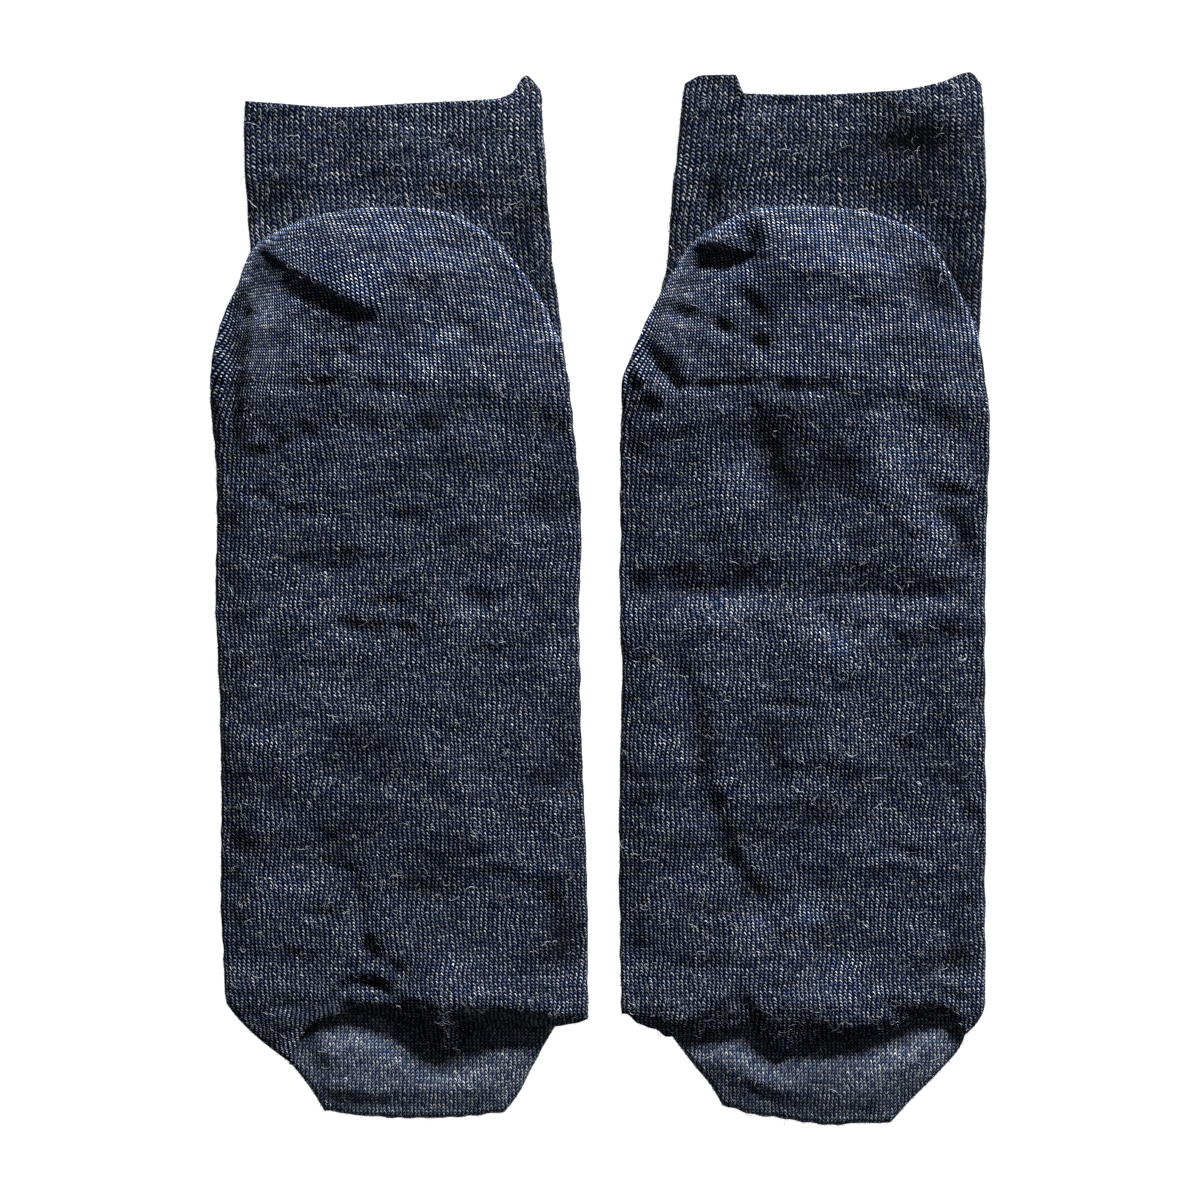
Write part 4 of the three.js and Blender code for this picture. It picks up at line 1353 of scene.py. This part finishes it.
def make_fibres(sock, pieces, materials):
    """The fuzz of stray wool on a sock: curled hairs on its faces and short ones at its edges."""
    random = np.random.default_rng(sock.seed + 40)

    def on_top(centres, normals):
        under_heel = (centres[:, 2] < HEEL_FLOOR) & (centres[:, 1] > ANKLE_Y)
        low, high = heel_edges(sock, centres[:, 1])
        covered = under_heel & (centres[:, 0] > low) & (centres[:, 0] < high)
        covered &= centres[:, 1] < ANKLE_Y + sock.heel.height
        return np.where(covered, 0, np.clip(normals[:, 2] - TOP_STEEPNESS, 0, 1))

    def on_lip(centres, normals):
        x, y = centres[:, 0], centres[:, 1]
        near = sum(patch.shade * near_place(patch, x, y) for patch in sock.fuzz)
        return near * (normals[:, 2] > LIP_STEEPNESS) * (centres[:, 2] > LIP_NOSE)

    def on_edges(centres, normals):
        steep = np.abs(normals[:, 2]) < EDGE_STEEPNESS
        return np.where(steep, 1.0, 0.0) * (centres[:, 2] > CLEAR_OF_FLOOR)

    points, faces, slots, offset = [], [], [], 0
    for piece, (hairs, lip_hairs, edge_hairs) in zip(pieces, FIBRES_PER_PIECE):
        for wanted, count, hair in (
            (on_top, hairs, FACE_HAIR),
            (on_lip, lip_hairs, LIP_HAIR),
            (on_edges, edge_hairs, EDGE_HAIR),
        ):
            if not count:
                continue
            places, normals = surface_places(piece, count, random, wanted)
            made = curled_fibres(places, normals, hair, random)
            made[..., 2] = np.maximum(made[..., 2], LOWEST_FIBRE)
            points.append(made.reshape(-1, 3))
            new_faces = [[i + offset for i in face] for face in fibre_faces(count, hair.points)]
            slots += [hair.material] * len(new_faces)
            faces += new_faces
            offset += count * hair.points * 3
    mesh = bpy.data.meshes.new(f"{sock.name}_stray_fibres")
    mesh.from_pydata((np.concatenate(points) * MM).tolist(), [], faces)
    mesh.update()
    for material in materials:
        mesh.materials.append(material)
    mesh.polygons.foreach_set("material_index", slots)
    piece = bpy.data.objects.new(f"{sock.name}_stray_fibres", mesh)
    bpy.context.scene.collection.objects.link(piece)
    return piece


# ---- Materials ----
# The wool's colours, from its darkest strands to its palest.
WOOL_COLOURS = [
    (0.0, (0.017, 0.030, 0.072, 1)),
    (0.35, (0.073, 0.096, 0.158, 1)),
    (0.7, (0.183, 0.207, 0.256, 1)),
    (1.0, (0.440, 0.452, 0.480, 1)),
]
# Painted shade deep in the gaps between stitches.
GAP_SHADE_COLOUR = (0.0001, 0.0008, 0.0044, 1)
# How stitches stray from their grid: the scale of each drift, and its share of the waviness.
STITCH_DRIFTS = ((0.09, 3.0), (0.7, 1.0))
GAP_START = -0.06  # below 0, so that a leg never sinks away wholly at the gap
LEGS_MEET = (0.36, 0.5)  # between these shares of a column the legs become one
LIT_HEIGHTS = (0.3, 1.0)  # from a stitch's height at which the gap's painted shade ends to its full colour
# The clouds of lighter and darker yarn: their scale across and up, and their share.
TONE_CLOUDS = ((0.05, 0.09, 1.0), (0.06, 0.7, 0.8))
STREAK_SCALE = 0.25  # along a course
COURSE_SPREAD = 7.31  # keeps the streaks of neighbouring courses apart
HAIR_SCALE = 6.0
HAIR_RELIEF = 0.1  # of a stitch's height
HAIR_LIGHTNESS = 0.1  # how much a hair lightens or darkens its strand
ROUGHNESS = (0.95, 0.8)  # of the darkest and the palest wool
NOISE_RANGE = (0.3, 0.7)  # in which nearly all of a noise lies


class Graph:
    """Adds nodes to a node tree and wires them, so that a material reads as a formula."""

    def __init__(self, tree):
        self.tree = tree

    def node(self, kind, inputs=None, **settings):
        made = self.tree.nodes.new(kind)
        for key, value in settings.items():
            setattr(made, key, value)
        for key, value in (inputs or {}).items():
            self.wire(value, made.inputs[key])
        return made

    def wire(self, source, socket):
        if isinstance(source, bpy.types.NodeSocket):
            self.tree.links.new(source, socket)
        else:
            socket.default_value = source

    def math(self, operation, *values, clamp=False):
        made = self.node("ShaderNodeMath", operation=operation, use_clamp=clamp)
        for value, socket in zip(values, made.inputs):
            self.wire(value, socket)
        return made.outputs[0]

    def remap(self, value, low, high, to_low=0.0, to_high=1.0, smooth=False):
        kind = "SMOOTHSTEP" if smooth else "LINEAR"
        inputs = {0: value, 1: low, 2: high, 3: to_low, 4: to_high}
        return self.node("ShaderNodeMapRange", inputs, interpolation_type=kind).outputs[0]

    def mix_value(self, share, a, b):
        return self.node("ShaderNodeMix", {0: share, 2: a, 3: b}, data_type="FLOAT").outputs[0]

    def mix_colour(self, share, a, b, blend="MIX"):
        inputs = {0: share, 6: a, 7: b}
        return self.node("ShaderNodeMix", inputs, data_type="RGBA", blend_type=blend).outputs[2]

    def shift(self, vector, by):
        return self.node("ShaderNodeVectorMath", {0: vector, 1: by}, operation="ADD").outputs[0]

    def noise(self, vector, scale, detail=2.0):
        return self.node("ShaderNodeTexNoise", {"Vector": vector, "Scale": scale, "Detail": detail})

    def scaled(self, vector, by):
        made = self.node("ShaderNodeVectorMath", {0: vector, "Scale": by}, operation="SCALE")
        return made.outputs[0]

    def vector(self, x, y, z=0.0):
        return self.node("ShaderNodeCombineXYZ", {0: x, 1: y, 2: z}).outputs[0]


def group(name, inputs, outputs):
    """A shader node group with named inputs (with their values) and outputs, ready to fill."""
    tree = bpy.data.node_groups.new(name, "ShaderNodeTree")
    for label, kind, value in inputs:
        socket = tree.interface.new_socket(name=label, in_out="INPUT", socket_type=kind)
        if value is not None:
            socket.default_value = value
    for label, kind in outputs:
        tree.interface.new_socket(name=label, in_out="OUTPUT", socket_type=kind)
    graph = Graph(tree)
    return graph, graph.node("NodeGroupInput").outputs, graph.node("NodeGroupOutput").inputs


FLOAT, VECTOR, COLOUR = "NodeSocketFloat", "NodeSocketVector", "NodeSocketColor"


def stitch_group():
    """Knit stitches, each an arch of two legs that dive between the columns."""
    g, given, out = group(
        "Knit stitches",
        [
            ("Knit", VECTOR, None),  # columns and courses
            ("Columns in a rib", FLOAT, 1.0),  # 1 for plain knit, 2 for a rib
            ("Share of the raised column", FLOAT, 1.0),
            ("Slant", FLOAT, 0.6),  # courses that a leg climbs
            ("Arch", FLOAT, 0.6),  # 1 for two legs, 0 for the right-hand leg alone
            ("Apex", FLOAT, 0.5),  # where across the column the arch has its top
            ("Straightness", FLOAT, 0.0),  # of its legs
            ("Gap", FLOAT, 0.26),  # how far a leg fades towards the next column
            ("Beads", FLOAT, 0.0),  # how much a leg swells at its middle
            ("Course gaps", FLOAT, 1.3),
            ("Left leg", FLOAT, 0.6),  # how strongly the leg on the left shows
            ("Waviness", FLOAT, 0.9),
        ],
        [("Height", FLOAT), ("Strand", VECTOR)],
    )
    knit = given["Knit"]
    for scale, share in STITCH_DRIFTS:
        drift = g.noise(given["Knit"], scale)
        moved = g.shift(drift.outputs["Color"], (-0.5, -0.5, -0.5))
        knit = g.shift(knit, g.scaled(moved, g.math("MULTIPLY", given["Waviness"], share)))
    parts = g.node("ShaderNodeSeparateXYZ", {0: knit})
    across, courses = parts.outputs[0], parts.outputs[1]
    rib = g.math("DIVIDE", across, given["Columns in a rib"])
    column = g.math("FLOOR", rib)
    place = g.math("FRACT", rib)
    raised = g.math("LESS_THAN", place, given["Share of the raised column"])
    inside = g.math("DIVIDE", place, given["Share of the raised column"])
    on_right = g.math("GREATER_THAN", inside, given["Apex"])
    from_left = g.math("DIVIDE", inside, g.math("MULTIPLY", 2.0, given["Apex"]))
    right_span = g.math("MULTIPLY", 2.0, g.math("SUBTRACT", 1.0, given["Apex"]))
    from_right = g.math("DIVIDE", g.math("SUBTRACT", 1.0, inside), right_span)
    from_gap = g.math("MINIMUM", from_left, from_right)

    arch = g.math("SINE", g.math("MULTIPLY", from_gap, math.pi))
    arch = g.mix_value(given["Straightness"], arch, g.math("MULTIPLY", from_gap, 2.0))
    arch = g.mix_value(given["Arch"], g.math("SUBTRACT", 1.0, inside), arch)
    strand = g.math("SUBTRACT", courses, g.math("MULTIPLY", arch, given["Slant"]))
    course = g.math("FLOOR", strand)
    round_strand = g.math("SINE", g.math("MULTIPLY", g.math("FRACT", strand), math.pi))
    round_strand = g.math("POWER", round_strand, given["Course gaps"])
    bead = g.math("SINE", g.math("MULTIPLY", from_gap, 2 * math.pi))
    bead = g.mix_value(given["Beads"], 1.0, g.math("MAXIMUM", bead, 0.0))
    above_gap = g.remap(from_gap, GAP_START, given["Gap"], 0.0, 1.0, smooth=True)
    balance = g.mix_value(on_right, given["Left leg"], 1.0)
    balance = g.mix_value(g.remap(from_gap, *LEGS_MEET, 0.0, 1.0), balance, 1.0)
    stitch = g.math("MULTIPLY", g.math("MULTIPLY", round_strand, above_gap), balance)
    stitch = g.math("MULTIPLY", stitch, bead)

    g.wire(g.math("MULTIPLY", raised, stitch), out["Height"])
    leg_number = g.math("ADD", g.math("MULTIPLY", column, 2.0), on_right)
    g.wire(g.vector(leg_number, course), out["Strand"])
    return g.tree


def wool_group():
    """Heathered wool: colour that changes from strand to strand and in streaks along a course, with
    painted shade in the gaps.
    """
    g, given, out = group(
        "Heathered wool",
        [
            ("Knit", VECTOR, None),
            ("Strand", VECTOR, None),
            ("Height", FLOAT, 1.0),
            ("Shade", FLOAT, 0.0),
            ("Streaks", FLOAT, 0.3),
            ("Unevenness", FLOAT, 0.3),
            ("Lightness", FLOAT, 1.0),
        ],
        [("Colour", COLOUR), ("Light", FLOAT), ("Fibres", FLOAT)],
    )
    strand = g.node("ShaderNodeSeparateXYZ", {0: given["Strand"]})
    knit = g.node("ShaderNodeSeparateXYZ", {0: given["Knit"]})
    leg = g.node("ShaderNodeTexWhiteNoise", {"Vector": given["Strand"]}, noise_dimensions="3D")
    course = g.math("MULTIPLY", strand.outputs[1], COURSE_SPREAD)
    along = g.vector(g.math("MULTIPLY", knit.outputs[0], STREAK_SCALE), course)
    streak = g.remap(g.noise(along, 1.0).outputs[0], *NOISE_RANGE)
    light = g.mix_value(given["Streaks"], leg.outputs[0], streak)
    tone = 1.0
    for across, up, share in TONE_CLOUDS:
        place_across = g.math("MULTIPLY", knit.outputs[0], across)
        place_up = g.math("MULTIPLY", knit.outputs[1], up)
        cloud = g.noise(g.vector(place_across, place_up), 1.0)
        cloud = g.remap(cloud.outputs[0], *NOISE_RANGE, -share, share)
        tone = g.math("ADD", tone, g.math("MULTIPLY", cloud, given["Unevenness"]))
    tone = g.math("MULTIPLY", tone, g.math("ADD", 1.0, given["Shade"]))
    tone = g.math("MULTIPLY", tone, given["Lightness"])
    hairs = g.noise(g.scaled(given["Knit"], HAIR_SCALE), 1.0)
    hairs = g.remap(hairs.outputs[0], *NOISE_RANGE)
    lighter = g.remap(hairs, 0.0, 1.0, -HAIR_LIGHTNESS, HAIR_LIGHTNESS)
    light = g.math("ADD", light, lighter, clamp=True)
    ramp = g.node("ShaderNodeValToRGB", {0: light})
    stops = ramp.color_ramp.elements
    stops[0].position, stops[0].color = WOOL_COLOURS[0]
    stops[1].position, stops[1].color = WOOL_COLOURS[-1]
    for place, colour in WOOL_COLOURS[1:-1]:
        stops.new(place).color = colour
    lit = g.remap(given["Height"], *LIT_HEIGHTS, 0.0, 1.0, smooth=True)
    colour = g.mix_colour(lit, GAP_SHADE_COLOUR, ramp.outputs[0])
    g.wire(g.mix_colour(1.0, colour, g.vector(tone, tone, tone), "MULTIPLY"), out["Colour"])
    g.wire(light, out["Light"])
    g.wire(hairs, out["Fibres"])
    return g.tree


def knit_material(name, stitches, wool, stitch_values, unevenness, lightness, bump=0.0004):
    """A knitted wool finish: stitches give its relief and the painted shade of its gaps, and the
    yarn its colour.

    A pair of stitch values is for the sole and for the heel.
    """
    material = bpy.data.materials.new(name)
    material.use_nodes = True
    g = Graph(material.node_tree)
    shader = material.node_tree.nodes["Principled BSDF"]
    knit = g.node("ShaderNodeUVMap", uv_map="knit").outputs[0]
    shade = g.node("ShaderNodeAttribute", attribute_name="shade").outputs["Fac"]
    made = g.node("ShaderNodeGroup", node_tree=stitches)
    g.wire(knit, made.inputs["Knit"])
    in_heel = g.node("ShaderNodeSeparateXYZ", {0: knit}).outputs[1]
    start, end = (y / FOOT_COURSE for y in HEEL_STITCHES)
    in_heel = g.remap(in_heel, start, end)
    for label, value in stitch_values.items():
        if isinstance(value, tuple):
            value = g.mix_value(in_heel, *value)
        g.wire(value, made.inputs[label])
    yarn = g.node("ShaderNodeGroup", node_tree=wool)
    for label, value in {
        "Knit": knit,
        "Strand": made.outputs["Strand"],
        "Height": made.outputs["Height"],
        "Shade": shade,
        "Unevenness": unevenness,
        "Lightness": lightness,
    }.items():
        g.wire(value, yarn.inputs[label])
    hairs = g.math("MULTIPLY", yarn.outputs["Fibres"], HAIR_RELIEF)
    relief = g.math("ADD", made.outputs["Height"], hairs)
    bumps = g.node("ShaderNodeBump", {"Strength": 1.0, "Distance": bump, "Height": relief})
    g.wire(yarn.outputs["Colour"], shader.inputs["Base Color"])
    g.wire(g.remap(yarn.outputs["Light"], 0.0, 1.0, *ROUGHNESS), shader.inputs["Roughness"])
    g.wire(bumps.outputs[0], shader.inputs["Normal"])
    shader.inputs["Specular IOR Level"].default_value = 0.02
    shader.inputs["Sheen Weight"].default_value = 0.01
    shader.inputs["Sheen Roughness"].default_value = 0.5
    shader.inputs["Sheen Tint"].default_value = (0.72, 0.78, 0.95, 1)
    return material


def fibre_material(name, dark, pale):
    """Stray wool, from a dark tone to a pale one, changing from place to place."""
    material = bpy.data.materials.new(name)
    material.use_nodes = True
    g = Graph(material.node_tree)
    shader = material.node_tree.nodes["Principled BSDF"]
    place = g.node("ShaderNodeTexCoord").outputs["Object"]
    tone = g.remap(g.noise(place, 450.0, 1.0).outputs[0], 0.35, 0.68)
    g.wire(g.mix_colour(tone, dark, pale), shader.inputs["Base Color"])
    shader.inputs["Roughness"].default_value = 0.7
    shader.inputs["Specular IOR Level"].default_value = 0.3
    return material


stitches, wool = stitch_group(), wool_group()
CUFF_STITCHES = {
    "Columns in a rib": 1.5,
    "Share of the raised column": 0.97,
    "Slant": 0.95,
    "Arch": 1.0,
    "Apex": 0.36,
    "Straightness": 0.5,
    "Gap": 0.16,
    "Beads": 0.4,
    "Course gaps": 1.4,
    "Left leg": 0.6,
    "Waviness": 0.9,
}
FOOT_STITCHES = {
    "Slant": (1.0, 0.9),
    "Gap": (0.22, 0.24),
    "Course gaps": (2.0, 2.5),
    "Left leg": (0.5, 0.45),
    "Arch": (0.75, 0.95),
    "Apex": (0.45, 0.36),
    "Waviness": (0.8, 0.35),
}
TOE_STITCHES = {
    "Slant": 1.3,
    "Gap": 0.2,
    "Course gaps": 1.1,
    "Arch": 0.8,
    "Left leg": 0.75,
    "Waviness": 0.6,
}
MATERIALS = {
    "leg": knit_material("cuff_knit", stitches, wool, CUFF_STITCHES, 0.5, 1.13),
    "foot": knit_material("foot_knit", stitches, wool, FOOT_STITCHES, 0.4, 1.29),
    "toe": knit_material("toe_knit", stitches, wool, TOE_STITCHES, 0.2, 1.5, 0.0003),
}
FIBRE_MATERIALS = [
    fibre_material("stray_wool", (0.07, 0.085, 0.12, 1), (0.52, 0.53, 0.56, 1)),
    fibre_material("edge_wool", (0.015, 0.02, 0.03, 1), (0.16, 0.175, 0.21, 1)),
]

# Each piece's cut, in metres: width and length of its flat sheet, and its area.
CUTS = {"leg": (0.17, 0.078, 0.0115), "foot": (0.182, 0.205, 0.0353), "toe": (0.083, 0.058, 0.0037)}
LIES_ON = {"leg": [], "foot": ["leg", "toe"], "toe": []}

for sock in (LEFT_SOCK, RIGHT_SOCK):
    made = {"leg": make_leg(sock), "foot": make_foot(sock), "toe": make_toe(sock)}
    for part, piece in made.items():
        piece.data.materials.append(MATERIALS[part])
        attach(piece, "root")
        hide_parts(f"{sock.name}_{part}")
        width, length, area = CUTS[part]
        below = [made[other] for other in LIES_ON[part]]
    fibres = make_fibres(sock, made.values(), FIBRE_MATERIALS)
    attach(fibres, "root")

# ---- Floor, light and camera ----
FLOOR_SIZE = 6
FLOOR_HEIGHT = -0.0001
FLOOR_GLOW = 1.02  # just past white, so that no shadow shows
WORLD_LIGHT = 0.14
bpy.ops.mesh.primitive_plane_add(size=FLOOR_SIZE, location=(0, 0, FLOOR_HEIGHT))
floor = bpy.context.object
floor.name = "floor"
floor_material = bpy.data.materials.new("pale_floor")
floor_material.use_nodes = True
floor_shader = floor_material.node_tree.nodes["Principled BSDF"]
floor_shader.inputs["Base Color"].default_value = (0.1, 0.1, 0.1, 1)
floor_shader.inputs["Emission Color"].default_value = (1, 1, 1, 1)
floor_shader.inputs["Emission Strength"].default_value = FLOOR_GLOW
floor_shader.inputs["Roughness"].default_value = 0.9
floor_shader.inputs["Specular IOR Level"].default_value = 0.0
floor.data.materials.append(floor_material)


def area_light(name, place, size, power):
    """A soft square light that faces the origin."""
    lamp = bpy.data.lights.new(name, "AREA")
    lamp.shape = "SQUARE"
    lamp.size = size
    lamp.energy = power
    light = bpy.data.objects.new(name, lamp)
    light.location = place
    light.rotation_euler = light.location.to_track_quat("Z", "Y").to_euler()
    bpy.context.scene.collection.objects.link(light)


# From the upper right, 25 degrees above the cloth, so that each fold has a light and a dark side.
area_light("key_light", place=(1.0, 2.1, 1.08), size=0.6, power=245)

world = bpy.data.worlds.new("studio")
world.use_nodes = True
background = world.node_tree.nodes["Background"]
background.inputs["Color"].default_value = (1, 1, 1, 1)
background.inputs["Strength"].default_value = WORLD_LIGHT
bpy.context.scene.world = world

CAMERA_HEIGHT = 1.0
VIEW_WIDTH = 0.3  # at the height of the cloth
CLOTH_HEIGHT = 0.003
camera_data = bpy.data.cameras.new("camera")
camera_data.lens = camera_data.sensor_width * (CAMERA_HEIGHT - CLOTH_HEIGHT) / VIEW_WIDTH
camera = bpy.data.objects.new("camera", camera_data)
camera.location = (0, 0, CAMERA_HEIGHT)
bpy.context.scene.collection.objects.link(camera)
bpy.context.scene.camera = camera
bpy.context.scene.view_settings.view_transform = "Standard"
